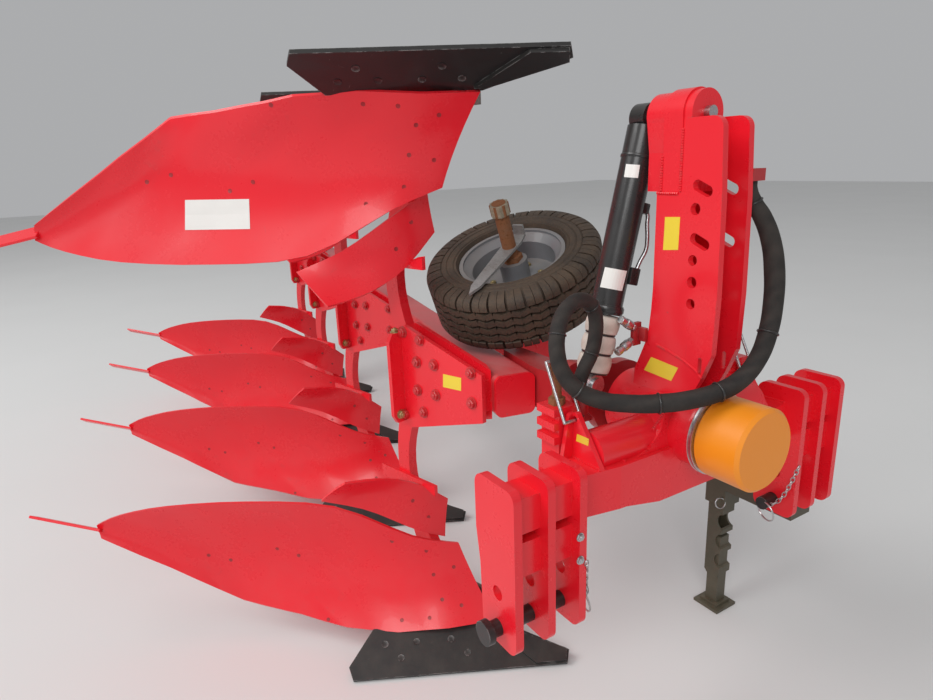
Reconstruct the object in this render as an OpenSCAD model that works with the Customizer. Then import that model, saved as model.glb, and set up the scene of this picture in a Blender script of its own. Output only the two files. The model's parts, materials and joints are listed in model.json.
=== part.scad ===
// Four-furrow reversible mounted plough, parked on its lower shares and its stand.
// Millimetres. +X is forward, +Y is the driver's left, +Z is up and Z = 0 is the ground.

/* [Overall] */
// Distance of the hitch plates' front edge ahead of the origin
hitch_x = 2013; // [1800:1:2200]
// Distance of the hitch's middle plane to the left of the origin
hitch_y = 421; // [300:1:600]
// Height of the turnover axis, the mirror plane of the upper and lower bodies
axis_z = 900; // [860:5:940]
// Furrows, each with a lower and an upper body
furrows = 4; // [2:1:4]

/* [Bodies] */
// Spacing of the bodies along X
step_x = 919; // [880:1:960]
// Sideways step of the bodies towards the left
step_y = 187; // [150:1:220]
// Foremost share tip behind the hitch plates
tip_back = 355; // [350:1:420]
// Foremost share tip to the right of the middle plane
tip_right = 99; // [60:1:140]
// Angle between the direction of travel and X while the plough is parked
travel_a = 13.7; // [10:0.1:16]
// Thickness of a mouldboard
board_t = 9; // [6:0.5:12]
// Length of the share's cutting edge
share_l = 668; // [600:1:700]
// Width of the share from its edge to the seam
share_w = 150; // [120:1:170]
// Thickness of the share
share_t = 13; // [10:0.5:16]
// Slope of the share above the ground
share_slope = 33; // [25:0.5:40]
// Angle of the cutting edge to the direction of travel
share_a = 48.4; // [44:0.1:52]
// Thickness of the landside
landside_t = 12; // [10:0.5:16]
// Length of the landside
landside_l = 430; // [350:5:500]
// Height of the landside
landside_h = 110; // [90:1:130]
// Distance of the leg's middle plane to the right of the share tip
leg_side = 150; // [140:1:170]
// Thickness of the leg
leg_t = 32; // [26:1:36]
// Width of the leg along the direction of travel
leg_w = 92; // [80:1:110]

/* [Beam] */
// Outer width and height of the square main beam
beam_w = 120; // [100:1:140]
// Corner radius of the main beam
beam_r = 20; // [8:1:24]
// Length of the main beam
beam_l = 3330; // [3250:10:3450]
// Front end of the beam behind the hitch plates
beam_back = 455; // [440:1:500]
// Front end of the beam to the right of the middle plane
beam_right = 214; // [190:1:240]
// Thickness of a bracket plate
bracket_t = 14; // [10:1:18]
// Rear end of the bracket behind the share tip
bracket_rear = 506; // [480:1:530]
// Length of a bracket plate
bracket_l = 345; // [300:5:380]
// Half height of a bracket plate at its rear
bracket_rear_h = 165; // [150:1:180]
// Half height of a bracket plate at its front
bracket_front_h = 70; // [62:1:90]
// Width of the flange on the bracket's rear edge
flange_w = 48; // [30:1:60]

/* [Headstock] */
// Height of the tower's top
tower_z = 1605; // [1550:5:1650]
// Depth of the tower along X
tower_d = 176; // [150:1:200]
// Rear edge of the tower behind the hitch plates
tower_back = 112; // [100:1:124]
// Distance of a tower plate's middle from the middle plane
tower_half = 42; // [38:1:50]
// Thickness of a tower plate
tower_t = 16; // [12:1:20]
// Outer radius of the bearing housing
housing_r = 92; // [84:1:100]
// Radius of the turnover shaft
shaft_r = 40; // [36:0.5:44]
// Radial running clearance of shafts and pins
run_gap = 0.05; // [0.02:0.01:0.1]
// Rear face of the bearing housing behind the hitch plates
housing_back = 220; // [190:1:228]
// Radius of the cap on the front of the bearing housing
cap_r = 97; // [90:1:105]
// Front face of the cap ahead of the hitch plates
cap_front = 182; // [160:1:200]
// Back face of the cap ahead of the hitch plates
cap_back = 63; // [55:1:80]
// Thickness of a hitch plate
plate_t = 20; // [16:1:24]
// Distance between neighbouring hitch plates
plate_pitch = 85; // [75:1:90]
// Middle of the inner hitch plate from the middle plane
plate_in = 392; // [370:1:410]
// Height of the hitch plates' lower edge
plate_z0 = 530; // [500:5:560]
// Height of the hitch plates' top
plate_z1 = 912; // [880:2:940]
// Radius of the lower link pin
link_r = 18.5; // [14:0.5:22]
// Height of the lower link pin
link_z = 572; // [560:1:600]
// Height of the spare hole above the pin
spare_z = 656; // [640:1:680]
// Thickness of the crossbeam along X
cross_d = 120; // [90:1:140]
// Height of the crossbeam's top
cross_z = 866; // [850:1:880]
// Distance of the gussets from the middle plane
gusset_side = 297; // [280:1:310]
// Radius of the sleeve round the hoses
hose_r = 17; // [12:0.5:20]

/* [Cylinder] */
// Distance of the cylinder's plane behind the hitch plates
cyl_back = 200; // [198:1:205]
// Height of the cylinder's upper pin
cyl_top_z = 1615; // [1600:1:1640]
// Rod eye's distance to the right of the middle plane
eye_right = 164; // [150:1:180]
// Rod eye's height above the turnover axis
eye_up = 90; // [70:1:110]
// Outer radius of the barrel
barrel_r = 39; // [34:0.5:42]
// Length of the barrel from the upper pin to its mouth
barrel_l = 468; // [440:1:480]
// Radius of the piston rod
rod_r = 18; // [14:0.5:20]
// Outer radius of the wraps on the rod
wrap_r = 24; // [22:0.5:26]
// Radius of the pins at the cylinder's ends
eye_pin_r = 14; // [12:0.5:16]
// Outer radius of the rod's eye
eye_r = 27; // [24:0.5:30]
// Width of the rod's eye along its pin
eye_w = 44; // [36:1:50]

/* [Wheel] */
// Radius of the tyre
tyre_r = 280; // [260:1:290]
// Width of the tyre
tyre_w = 190; // [170:1:196]
// Radius of the rim
rim_r = 158; // [145:1:170]
// Wheel centre behind the hitch plates
wheel_back = 735; // [720:1:760]
// Wheel centre to the left of the middle plane
wheel_left = 5; // [0:1:30]
// Height of the wheel centre
wheel_z = 1174; // [1170:1:1200]
// Lean of the wheel's axle from the vertical
wheel_lean = 24; // [18:0.5:25]
// Direction of that lean, counted from +X
wheel_turn = -65; // [-80:1:-50]
// Radius of the wheel's spindle
spindle_r = 22; // [18:0.5:26]

/* [Stand] */
// Stand behind the hitch plates
stand_back = 293; // [270:1:294]
// Stand to the left of the middle plane
stand_left = 524; // [505:1:530]
// Width of the stand's square sleeve
sleeve_w = 76; // [66:1:80]
// Width of the square leg that slides in it
prop_w = 58; // [50:1:62]
// Width of the foot's own leg inside it
foot_leg_w = 44; // [38:1:46]
// Top of the sleeve
sleeve_z1 = 530; // [500:1:560]
// Lower end of the sleeve
sleeve_z0 = 400; // [390:1:430]
// Lower end of the notched leg
prop_z0 = 125; // [110:1:140]
// Sliding clearance of the leg in the sleeve on each side
slide_gap = 0.5; // [0.3:0.1:1]
// Size of the foot plate
foot_w = 98; // [90:1:100]

/* [Hidden] */
$fn = 48;

paint = [0.86, 0.07, 0.10];
dark_paint = [0.45, 0.05, 0.07];
share_paint = [0.07, 0.07, 0.08];
wear_steel = [0.35, 0.33, 0.32];
steel = [0.62, 0.63, 0.65];
rust = [0.42, 0.26, 0.18];
olive = [0.16, 0.16, 0.13];
seat_gap = 0.3;
ground_gap = 8;
trash_t = 7;
stay_t = 12;
strip_t = 10;
strip_l = 300;
tail_turn = 39;
tail_gap = 11.6;
strip_turn = 39;
strip_rise = 11;
point_t = 12;
leg_back = 455;
leg_n = 14;
beam_wall = 10;
cap_t = 12;
hub_t = 34;
seat_h = 104;
hub_r = 105;
arm_h = 96;
arm_w = 92;
arm_rise = 22;
arm_reach = 190;
foot_t = 20;
link_x = -28;
// Columns: rear face, width along X, radius, draw-in of the foot.
lugs = [[-152, 54, 49, 12], [-98, 53, 54, 4], [-45, 21, 50, 4]];
link_holes = [[-2, 1416, 13], [-2, 1305, 12], [-1, 1256, 13], [-1, 1207, 12]];
link_slots = [[14, 1460, 12], [14, 1347, 12]];
housing_front = cap_back - 28;
beam_a = atan2(step_y, step_x);
hub_back = cyl_back + eye_w / 2 + 30;

// Places the hitch's own frame: X from the hitch plates' front edge, Y from the middle plane.
module at_hitch() translate([hitch_x, hitch_y, 0]) children();

// Places a body's frame at its share tip: +X is the direction of travel, -Y is the furrow side.
module at_tip(i) at_hitch()
    translate([-tip_back - i * step_x, -tip_right + i * step_y, 0]) rotate([0, 0, travel_a]) children();

// Draws a thing at the lower body and mirrored at the upper one.
module lower_and_upper() {
    children();
    translate([0, 0, 2 * axis_z]) mirror([0, 0, 1]) children();
}

// Turns a profile drawn in (X, Z) into a plate of thickness t centred on y.
module plate_xz(y, t) translate([0, y + t / 2, 0]) rotate([90, 0, 0]) linear_extrude(t) children();

// Turns a profile drawn in (Y, Z) into a plate of thickness t that starts at x.
module plate_yz(x, t) translate([x, 0, 0]) rotate([90, 0, 90]) linear_extrude(t) children();

// A rod along X from x0 to x1.
module rod_x(x0, x1, r) translate([x0, 0, 0]) rotate([0, 90, 0]) cylinder(r = r, h = x1 - x0);

// A rod along Y from y0 to y1.
module rod_y(y0, y1, r) translate([0, y1, 0]) rotate([90, 0, 0]) cylinder(r = r, h = y1 - y0);

module rounded_square(w, r) {
    square([w, w - 2 * r], center = true);
    square([w - 2 * r, w], center = true);
    for (sx = [-1, 1], sy = [-1, 1])
        translate([sx * (w / 2 - r), sy * (w / 2 - r)]) circle(r);
}

// Lofts. A section of a plate has a lower point, an upper point and the sag between them.

// Catmull-Rom value between p1 and p2.
function blend4(p0, p1, p2, p3, t) =
    0.5 * (2 * p1 + (p2 - p0) * t + (2 * p0 - 5 * p1 + 4 * p2 - p3) * t * t
        + (3 * p1 - p0 - 3 * p2 + p3) * t * t * t);
function section_at(table, u) =
    let (n = len(table) - 1, k = min(floor(u * n), n - 1), t = u * n - k)
    blend4(table[max(k - 1, 0)], table[k], table[k + 1], table[min(k + 2, n)], t);
function board_point(s, v) =
    let (sag = s[6] * 4 * v * (1 - v))
    [-(s[0] + (s[3] - s[0]) * v + sag), -(s[1] + (s[4] - s[1]) * v - sag * 0.35), s[2] + (s[5] - s[2]) * v];

// Closed shell between the offsets t0 and t1 behind the lofted surface.
module lofted_plate(table, nu, nv, t0, t1) {
    w = nv + 1;
    mid = [for (i = [0:nu]) let (s = section_at(table, i / nu)) for (j = [0:nv]) board_point(s, j / nv)];
    function at(i, j) = mid[min(max(i, 0), nu) * w + min(max(j, 0), nv)];
    function normal(i, j) =
        let (c = cross(at(i + 1, j) - at(i - 1, j), at(i, j + 1) - at(i, j - 1))) c / norm(c);
    front = [for (i = [0:nu]) for (j = [0:nv]) at(i, j) + t0 * normal(i, j)];
    back = [for (i = [0:nu]) for (j = [0:nv]) at(i, j) + t1 * normal(i, j)];
    n = len(front);
    cells = [for (i = [0:nu - 1]) for (j = [0:nv - 1]) i * w + j];
    rim = concat([for (i = [0:nu]) i * w], [for (j = [1:nv]) nu * w + j],
        [for (i = [nu - 1:-1:0]) i * w + nv], [for (j = [nv - 1:-1:1]) j]);
    m = len(rim);
    polyhedron(points = concat(front, back), faces = concat(
        [for (c = cells) [c, c + w + 1, c + 1]], [for (c = cells) [c, c + w, c + w + 1]],
        [for (c = cells) [n + c, n + c + 1, n + c + w + 1]],
        [for (c = cells) [n + c, n + c + w + 1, n + c + w]],
        [for (k = [0:m - 1]) [rim[k], n + rim[(k + 1) % m], rim[(k + 1) % m]]],
        [for (k = [0:m - 1]) [rim[k], n + rim[k], n + rim[(k + 1) % m]]]));
}

// Sections from the shin to the tail, measured back, sideways and up from the share's tip.
// Columns: lower back, lower side, lower height, upper back, upper side, upper height, sag.
board_table = [
    [222, 85, 96, 360, 105, 336, 18],
    [300, 215, 98, 432, 238, 390, 40],
    [415, 398, 98, 600, 410, 505, 68],
    [632, 592, 198, 810, 590, 522, 60],
    [872, 757, 298, 1010, 765, 508, 40],
    [1076, 872, 364, 1140, 868, 474, 18],
    [1190, 925, 402, 1203, 922, 440, 4]];
trash_table = [
    [409, 118, 345, 425, 82, 464, 4],
    [438, 212, 400, 436, 200, 560, 12],
    [525, 335, 492, 460, 320, 612, 16],
    [600, 450, 545, 492, 430, 632, 6]];

module mouldboard() lofted_plate(board_table, 18, 6, 0, board_t);
// Space ahead of the mouldboard's back, to trim what seats against it.
module board_space() lofted_plate(board_table, 18, 6, -200, board_t + seat_gap);
module trash_space() lofted_plate(trash_table, 10, 3, -90, trash_t + seat_gap);

// Outline of the share in its own plane: the cutting edge lies along Y = share_w.
module share_outline() polygon([[0, share_w], [share_l, share_w], [share_l + 14, share_w - 40],
    [share_l - 60, 0], [205, 0], [-12, share_w - 40]]);
// Places the share's plane on the ground at the body's tip.
module share_plane()
    rotate([0, 0, 180 + share_a]) rotate([-share_slope, 0, 0]) translate([0, -share_w, 0]) children();
module share_blade() share_plane() linear_extrude(share_t) share_outline();
// The raised point that is bolted over the share's nose.
module share_point() share_plane() translate([0, 0, share_t]) linear_extrude(point_t)
    polygon([[4, share_w - 5], [100, share_w - 5], [229, 22], [196, 22], [-2, share_w - 42]]);
module share_space() share_plane() translate([0, 0, -seat_gap]) linear_extrude(400) share_outline();

// Legs: a forged plate that hangs from the bracket, sweeps back and comes forward to the share.
function leg_row(t) =
    let (sweep = sin(180 * t))
    [-(leg_back + 88 * sweep - 10 * t), axis_z - 22 - (axis_z - 330) * t, leg_w / 2 - 20 * sweep];
leg_rows = [for (k = [0:leg_n]) leg_row(k / leg_n)];
module leg_plate() plate_xz(-leg_side, leg_t)
    polygon(concat([for (r = leg_rows) [r[0] - r[2], r[1]]],
        [[-585, 240], [-560, 120], [-520, 14], [-300, 14], [-250, 70], [-385, 345]],
        [for (k = [leg_n:-1:0]) [leg_rows[k][0] + leg_rows[k][2], leg_rows[k][1]]]));
module leg() difference() {
    leg_plate();
    board_space();
    share_space();
}

module legs(i) color(paint) at_tip(i) lower_and_upper() leg();
module mouldboards(i) color(paint) at_tip(i) lower_and_upper() mouldboard();
module shares(i) color(share_paint) at_tip(i) lower_and_upper() {
    share_blade();
    share_point();
}
module legs_1() legs(0);
module legs_2() legs(1);
module legs_3() legs(2);
module legs_4() legs(3);
module mouldboards_1() mouldboards(0);
module mouldboards_2() mouldboards(1);
module mouldboards_3() mouldboards(2);
module mouldboards_4() mouldboards(3);
module shares_1() shares(0);
module shares_2() shares(1);
module shares_3() shares(2);
module shares_4() shares(3);

// Trashboards, each on a stay along the outside of its leg.
module trashboards() color(paint) for (i = [0:furrows - 1]) at_tip(i) lower_and_upper() {
    lofted_plate(trash_table, 10, 3, 0, trash_t);
    difference() {
        plate_xz(-(leg_side + leg_t / 2 + stay_t / 2), stay_t)
            polygon([[-640, 515], [-640, 560], [-380, 560], [-380, 515]]);
        trash_space();
    }
}

// Landsides with the block that carries each on its leg.
module landsides() color(wear_steel) for (i = [0:furrows - 1]) at_tip(i) lower_and_upper() {
    translate([-300 - landside_l, -landside_t, ground_gap]) cube([landside_l, landside_t, landside_h]);
    translate([-510, -(leg_side - leg_t / 2), 25])
        cube([130, leg_side - leg_t / 2 - landside_t, 80]);
}

// Slats that lengthen the mouldboards past their tails.
module tail_strips() color(paint) for (i = [0:furrows - 1]) at_tip(i) lower_and_upper() difference() {
    translate([-1206, -914, 418]) rotate([0, 0, 180 + strip_turn]) rotate([0, -strip_rise, 0]) {
        translate([-75, -strip_t / 2, -20]) cube([strip_l, strip_t, 40]);
        translate([-75, -strip_t / 2, -20]) cube([75, 36, 40]);
    }
    // The plane of the mouldboard's back at its tail
    translate([-1190, -925, 300]) rotate([0, 0, 180 + tail_turn])
        translate([-400, -board_t - tail_gap, 0]) cube([430, 200, 300]);
}

// Beam and its brackets

// Places the main beam's frame: X runs back along the beam, Z = 0 is the turnover axis.
module at_beam() at_hitch() translate([-beam_back, -beam_right, axis_z])
    rotate([0, 0, 180 - beam_a]) children();
module beam_section() rounded_square(beam_w, beam_r);
module main_beam() color(paint) at_beam() rotate([90, 0, 90])
    linear_extrude(beam_l) difference() {
        beam_section();
        rounded_square(beam_w - 2 * beam_wall, beam_r - beam_wall / 2);
    }
module beam_cap() color(paint) {
    at_beam() translate([-cap_t, 0, 0]) rotate([90, 0, 90]) linear_extrude(cap_t) beam_section();
    at_beam() translate([beam_l, 0, 0]) rotate([90, 0, 90]) linear_extrude(cap_t) beam_section();
}

plate_in_y = -(leg_side - leg_t / 2 - bracket_t / 2);
plate_out_y = -(leg_side + leg_t / 2 + bracket_t / 2);
bracket_front = -(bracket_rear - bracket_l);
module bracket_profile() polygon([[bracket_front, -bracket_front_h], [bracket_front, bracket_front_h],
    [-bracket_rear + 30, bracket_rear_h], [-bracket_rear, bracket_rear_h - 22],
    [-bracket_rear, 22 - bracket_rear_h], [-bracket_rear + 30, -bracket_rear_h]]);
module bracket() {
    foot_y = -(leg_side - leg_t / 2 - bracket_t);
    foot_y1 = -(leg_side + leg_t / 2 + bracket_t);
    plate_xz(plate_in_y, bracket_t) bracket_profile();
    plate_xz(plate_out_y, bracket_t) bracket_profile();
    // Seat between the inner plate and the beam, which trims it to its own face
    translate([0, 0, -seat_h / 2]) linear_extrude(seat_h)
        polygon([[bracket_front, foot_y], [-440, foot_y], [-440, 0], [-250, 0]]);
    // Spacer between the two plates ahead of the legs
    translate([bracket_front - 70, -(leg_side + leg_t / 2), -45]) cube([60, leg_t, 90]);
    // Flange on the outer plate's rear edge
    translate([-bracket_rear, foot_y1 - flange_w, 0]) rotate([90, 0, 90]) linear_extrude(bracket_t)
        polygon([[flange_w, 22 - bracket_rear_h], [flange_w, bracket_rear_h - 22], [14, bracket_rear_h - 22],
            [0, bracket_rear_h - 46], [0, 46 - bracket_rear_h], [14, 22 - bracket_rear_h]]);
}
module brackets() color(paint) difference() {
    for (i = [0:furrows - 1]) at_tip(i) translate([0, 0, axis_z]) bracket();
    beam_space();
}

// Turnover shaft and the arm to the beam
module turnover_shaft() color(steel) at_hitch() translate([0, 0, axis_z]) rod_x(-hub_back, cap_back - 6, shaft_r);
module swing_head() at_hitch() translate([0, 0, axis_z]) {
    rod_x(-hub_back - hub_t, -hub_back, hub_r);
    // Arm back along the beam's left face
    translate([-beam_back - arm_reach, -beam_right + beam_w / 2 + 2, -arm_h / 2])
        cube([beam_back + arm_reach - hub_back - hub_t / 2, arm_w, arm_h + arm_rise]);
    // Ear that carries the rod eye's seat
    translate([-hub_back - hub_t, 0, 0]) rotate([90, 0, 90]) linear_extrude(hub_t) hull() {
        translate([-eye_right, eye_up]) circle(eye_r + 14);
        circle(hub_r - 10);
    }
}
// Space that the beam takes, for what seats against its sides.
module beam_space() at_beam() translate([-cap_t - 1, -beam_w / 2, -beam_w])
    cube([beam_l + 2 * cap_t + 2, beam_w, 2 * beam_w]);
module swing_arm() color(dark_paint) difference() {
    swing_head();
    beam_space();
    at_hitch() translate([0, 0, axis_z]) rod_x(-hub_back - hub_t - 1, 0, shaft_r);
}

// Headstock
module bearing_housing() color(paint) at_hitch() translate([0, 0, axis_z]) difference() {
    rod_x(-housing_back, housing_front, housing_r);
    rod_x(-housing_back - 1, cap_back - 5, shaft_r + run_gap);
}
cross_half = plate_in - plate_t / 2;
shoulder_in = 96;
shoulder_out = 205;
shoulder_z = 972;
tube_r = 50;
gusset_t = 12;
stop_x = -150;
stop_side = 311;
stop_z = 985;
// Plan of the box beam, as a tall prism.
module beam_plan() translate([0, 0, 600]) linear_extrude(cross_z - 600) polygon([[-cross_d + 22, -cross_half],
    [-cross_d, -250], [-cross_d, 250], [-cross_d + 22, cross_half], [-18, cross_half], [0, 250], [0, -250],
    [-18, -cross_half]]);
// Box beam between the hitch plates with curved shoulders up to the housing.
module crossbeam() color(paint) at_hitch() difference() {
    union() {
        intersection() {
            plate_yz(-cross_d, cross_d) polygon([[-cross_half, 765], [-230, 760], [-120, 738], [120, 738],
                [230, 760], [cross_half, 765], [cross_half, cross_z], [-cross_half, cross_z]]);
            beam_plan();
        }
        for (s = [0, 1]) mirror([0, s, 0]) {
            plate_yz(-96, 84) polygon(concat([[-10, cross_z - 20], [-10, shoulder_z], [-shoulder_in, shoulder_z]],
                arc([-shoulder_out, shoulder_z + 4], shoulder_z - cross_z + 4, -34, -90, 8),
                [[-shoulder_out, cross_z - 20]]));
            translate([-66, 0, cross_z + 20]) rod_y(-gusset_side + 10, -shoulder_in, tube_r);
        }
    }
    translate([0, 0, axis_z]) rod_x(-cross_d - 1, 1, housing_r);
    // Round hole through each shoulder
    for (s = [-1, 1]) translate([0, s * 152, 880]) rod_x(-20, 1, 8);
}
// Upright gussets near the beam's ends, with the stacked seat of each stop screw behind them.
module gussets() color(paint) at_hitch() for (s = [0, 1]) mirror([0, s, 0]) difference() {
    union() {
        plate_xz(-gusset_side, gusset_t) polygon(concat([[-112, cross_z], [-8, cross_z]],
            arc([-96, cross_z + 100], 12, 30, 150)));
        plate_yz(-114, gusset_t) polygon(concat([[-gusset_side, cross_z], [-gusset_side - 36, cross_z]],
            arc([-gusset_side - 8, cross_z + 98], 10, 160, 90), [[-gusset_side, cross_z + 108]]));
        for (k = [0:2]) translate([stop_x - 32, -stop_side - 34, stop_z - 18 - 34 * k]) cube([64, 68, 18]);
        translate([stop_x - 32, -stop_side - 20, cross_z - 40]) cube([64, 40, stop_z - cross_z + 30]);
        translate([stop_x + 20, -stop_side - 20, cross_z - 70]) cube([-cross_d + 22 - stop_x - 20, 40, 66]);
    }
    translate([-96, 0, cross_z + 96]) rod_y(-gusset_side - 20, -gusset_side + 20, 7);
    translate([stop_x, -stop_side, cross_z - 100]) cylinder(r = 11, h = 240);
    beam_plan();
}
tower_front = tower_d - tower_back;
tower_round = 26;
lug_foot_z = 1450;
lug_step_x = -45;
slot_tilt = 23;
slot_half = 15;
// Points of an arc round c from angle a0 to a1.
function arc(c, r, a0, a1, n = 6) = [for (k = [0:n]) let (a = a0 + (a1 - a0) * k / n) c + r * [cos(a), sin(a)]];
// Tower plate with its flared foot behind the housing and the step that carries the lugs.
module tower_plate() polygon(concat(
    [[-208, 925], [-218, 938], [-206, 955], [-164, 971], [-162, 1015], [-146, 1052], [-130, 1090], [-120, 1130],
    [-tower_back - 3, 1176], [-tower_back, 1230], [-tower_back, lug_foot_z], [lug_step_x, lug_foot_z],
    [lug_step_x, tower_z]],
    arc([tower_front - tower_round - 8, tower_z - tower_round], tower_round, 90, 10),
    [[tower_front, 1440], [tower_front + 4, 1230], [tower_front, 1100], [40, 1040], [14, 990], [-4, 925]]));
module link_slot(r) rotate([0, slot_tilt, 0]) {
    for (d = [-1, 1]) translate([d * slot_half, 0, 0]) rod_y(-tower_half - tower_t, tower_half + tower_t, r);
    translate([-slot_half, -tower_half - tower_t, -r]) cube([2 * slot_half, 2 * (tower_half + tower_t), 2 * r]);
}
module tower() color(paint) at_hitch() difference() {
    union() {
        for (s = [-1, 1]) plate_xz(s * tower_half, tower_t) tower_plate();
        // Web between the plates at their rear edges
        translate([-tower_back + 12, -tower_half + tower_t / 4, 1010])
            cube([14, 2 * tower_half - tower_t / 2, lug_foot_z - 1010]);
    }
    translate([0, 0, axis_z]) rod_x(-housing_back - 1, 100, housing_r);
    for (h = link_holes) translate([h[0], 0, h[1]]) rod_y(-tower_half - tower_t, tower_half + tower_t, h[2]);
    for (h = link_slots) translate([h[0], 0, h[1]]) link_slot(h[2]);
    // Narrow upright slot low in both plates
    translate([34, 0, 1068]) for (d = [-1, 1]) translate([0, 0, d * 16]) rod_y(-60, 60, 5);
    translate([29, -60, 1052]) cube([10, 120, 32]);
}
// Eyes of the cylinder's pin: two on the plates' step and one between the plates.
module tower_lugs() color(paint) at_hitch() difference() {
    for (l = lugs) translate([l[0], 0, 0]) rotate([90, 0, 90]) linear_extrude(l[1]) {
        translate([0, cyl_top_z]) circle(l[2]);
        polygon([[-l[2], cyl_top_z], [l[2], cyl_top_z], [l[2] - l[3], cyl_top_z - 80], [l[2] - l[3], lug_foot_z],
            [l[3] - l[2], lug_foot_z], [l[3] - l[2], cyl_top_z - 80]]);
    }
    for (s = [-1, 1]) translate([lug_step_x, s * tower_half - tower_t / 2, lug_foot_z])
        cube([tower_d, tower_t, tower_z - lug_foot_z]);
    translate([0, 0, cyl_top_z]) rod_x(-cyl_back, 100, eye_pin_r + run_gap);
}
module tower_pin() color(steel) at_hitch() translate([0, 0, cyl_top_z]) {
    rod_x(-cyl_back - eye_w / 2 - 4, -10, eye_pin_r);
    rod_x(-cyl_back - eye_w / 2 - 14, -cyl_back - eye_w / 2 - 2, eye_pin_r + 5);
}
module hitch_plate() difference() {
    polygon(concat(arc([-76, plate_z1 - 28], 28, 180, 90), arc([12, plate_z1 - 24], 24, 90, 0),
        arc([10, plate_z0 + 26], 26, 0, -90), arc([-60, plate_z0 + 28], 28, -90, -180),
        [[-92, 700], [-104, 780]]));
    translate([link_x, link_z]) circle(link_r + run_gap);
    translate([link_x, spare_z]) circle(link_r - 2);
}
spacer_zs = [700, 800];
spacer_in = 4;
module hitch_plates(s) color(paint) at_hitch() {
    for (k = [0:2]) plate_xz(s * (plate_in + k * plate_pitch), plate_t) hitch_plate();
    for (k = [0:1], z = spacer_zs) {
        gap = plate_pitch - plate_t + 2 * spacer_in;
        translate([-70, s * (plate_in + (k + 0.5) * plate_pitch) - gap / 2, z]) cube([80, gap, 80]);
    }
}
module hitch_plates_right() hitch_plates(-1);
module hitch_plates_left() hitch_plates(1);
pin_in = plate_in - 60;
pin_out = plate_in + 2 * plate_pitch + 50;
module link_pin(s) color(share_paint) at_hitch() translate([link_x, 0, link_z]) mirror([0, s > 0 ? 0 : 1, 0]) {
    rod_y(pin_in, pin_out, link_r);
    rod_y(pin_out - 16, pin_out, link_r + 9);
}
module link_pin_right() link_pin(-1);
module link_pin_left() link_pin(1);
module bearing_cap() color([0.95, 0.60, 0.16]) at_hitch() translate([0, 0, axis_z]) rotate([0, 90, 0])
    rotate_extrude($fn = 96) polygon([[0, cap_back + 1], [cap_r - 6, cap_back + 1], [cap_r, cap_back + 8],
        [cap_r, cap_front - 8], [cap_r - 8, cap_front], [0, cap_front]]);
module clamp_band() color(steel) at_hitch() translate([0, 0, axis_z]) difference() {
    rod_x(housing_front + 0.3, cap_back + 0.7, cap_r + 2);
    rod_x(housing_front, cap_back + 1, shaft_r + 8);
}
module stop_screws() color(rust) at_hitch() for (s = [-1, 1]) translate([stop_x, s * stop_side, stop_z]) {
    translate([0, 0, -40]) cylinder(r = 11, h = 130);
    translate([0, 0, 70]) cylinder(r = 17, h = 26, $fn = 6);
    cylinder(r = 20, h = 16, $fn = 6);
}
// Bent wire that hangs in each gusset's hole.
wire_r = 4;
wire_a = 117;
wire_l = 143;
wire_half = 24;
wire_out = 13;
module wire_loops() color(steel) at_hitch() for (s = [0, 1]) mirror([0, s, 0])
    translate([-96, -gusset_side - wire_out, cross_z + 96]) rotate([0, -wire_a, 0])
        translate([-7 + wire_r + 0.3, 0, 0]) {
            for (d = [-1, 1]) translate([0, d * wire_half, 0]) rod_x(0, wire_l, wire_r);
            for (d = [-1, 1], x = [0, wire_l]) translate([x, d * wire_half, 0]) sphere(wire_r);
            for (x = [0, wire_l]) translate([x, 0, 0]) rod_y(-wire_half, wire_half, wire_r);
        }

// Hoses in one textile sleeve, from a clip on the tower over the crossbeam and back to a clip behind it.
hose_route = [[40, 71, 1470], [40, 71, 1452], [48, 78, 1424], [60, 96, 1392], [72, 116, 1340], [80, 128, 1270], [88, 122, 1200],
    [96, 100, 1135], [100, 64, 1080], [98, 12, 1042], [88, -50, 1023], [64, -112, 1012], [28, -170, 1006],
    [-14, -224, 1006], [-46, -272, 1015], [-74, -314, 1040], [-94, -339, 1078], [-106, -346, 1120],
    [-116, -338, 1162], [-126, -316, 1198], [-134, -282, 1220], [-141, -244, 1222], [-147, -212, 1204],
    [-150, -195, 1170], [-151, -194, 1128], [-151, -206, 1086], [-150, -230, 1050], [-150, -243, 1018],
    [-150, -243, 990]];
hose_sides = 10;
module hose_bundle() color(share_paint) at_hitch() {
    p = hose_route;
    m = len(p) - 1;
    // Each ring stands across the route
    ahead = [for (i = [0:m]) let (d = p[min(i + 1, m)] - p[max(i - 1, 0)]) d / norm(d)];
    across = [for (a = ahead) let (c = cross(a, abs(a[2]) > 0.8 ? [0.3, 1, 0] : [0, 0, 1])) c / norm(c)];
    rings = [for (i = [0:m]) let (u = across[i], w = cross(u, ahead[i]))
        for (k = [0:hose_sides - 1]) let (a = 360 * k / hose_sides) p[i] + hose_r * (cos(a) * u + sin(a) * w)];
    polyhedron(points = rings, faces = concat(
        [[for (k = [hose_sides - 1:-1:0]) k]], [[for (k = [0:hose_sides - 1]) m * hose_sides + k]],
        [for (i = [0:m - 1], k = [0:hose_sides - 1]) let (a = i * hose_sides + k, b = i * hose_sides + (k + 1) % hose_sides)
            [a, b, b + hose_sides, a + hose_sides]]));
}
module hose_clips() color(dark_paint) at_hitch() {
    // On the tower's left plate and on the crossbeam's tube
    translate([18, tower_half + tower_t / 2, 1470]) cube([44, 2 * (hose_r + 4), 26]);
    translate([-150, -243, 948]) cylinder(r = hose_r + 5, h = 42);
    translate([-150, -243, cross_z - 20]) cylinder(r = 13, h = 92);
    translate([-163, -256, cross_z - 20]) cube([163 - cross_d, 26, 24]);
}

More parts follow.
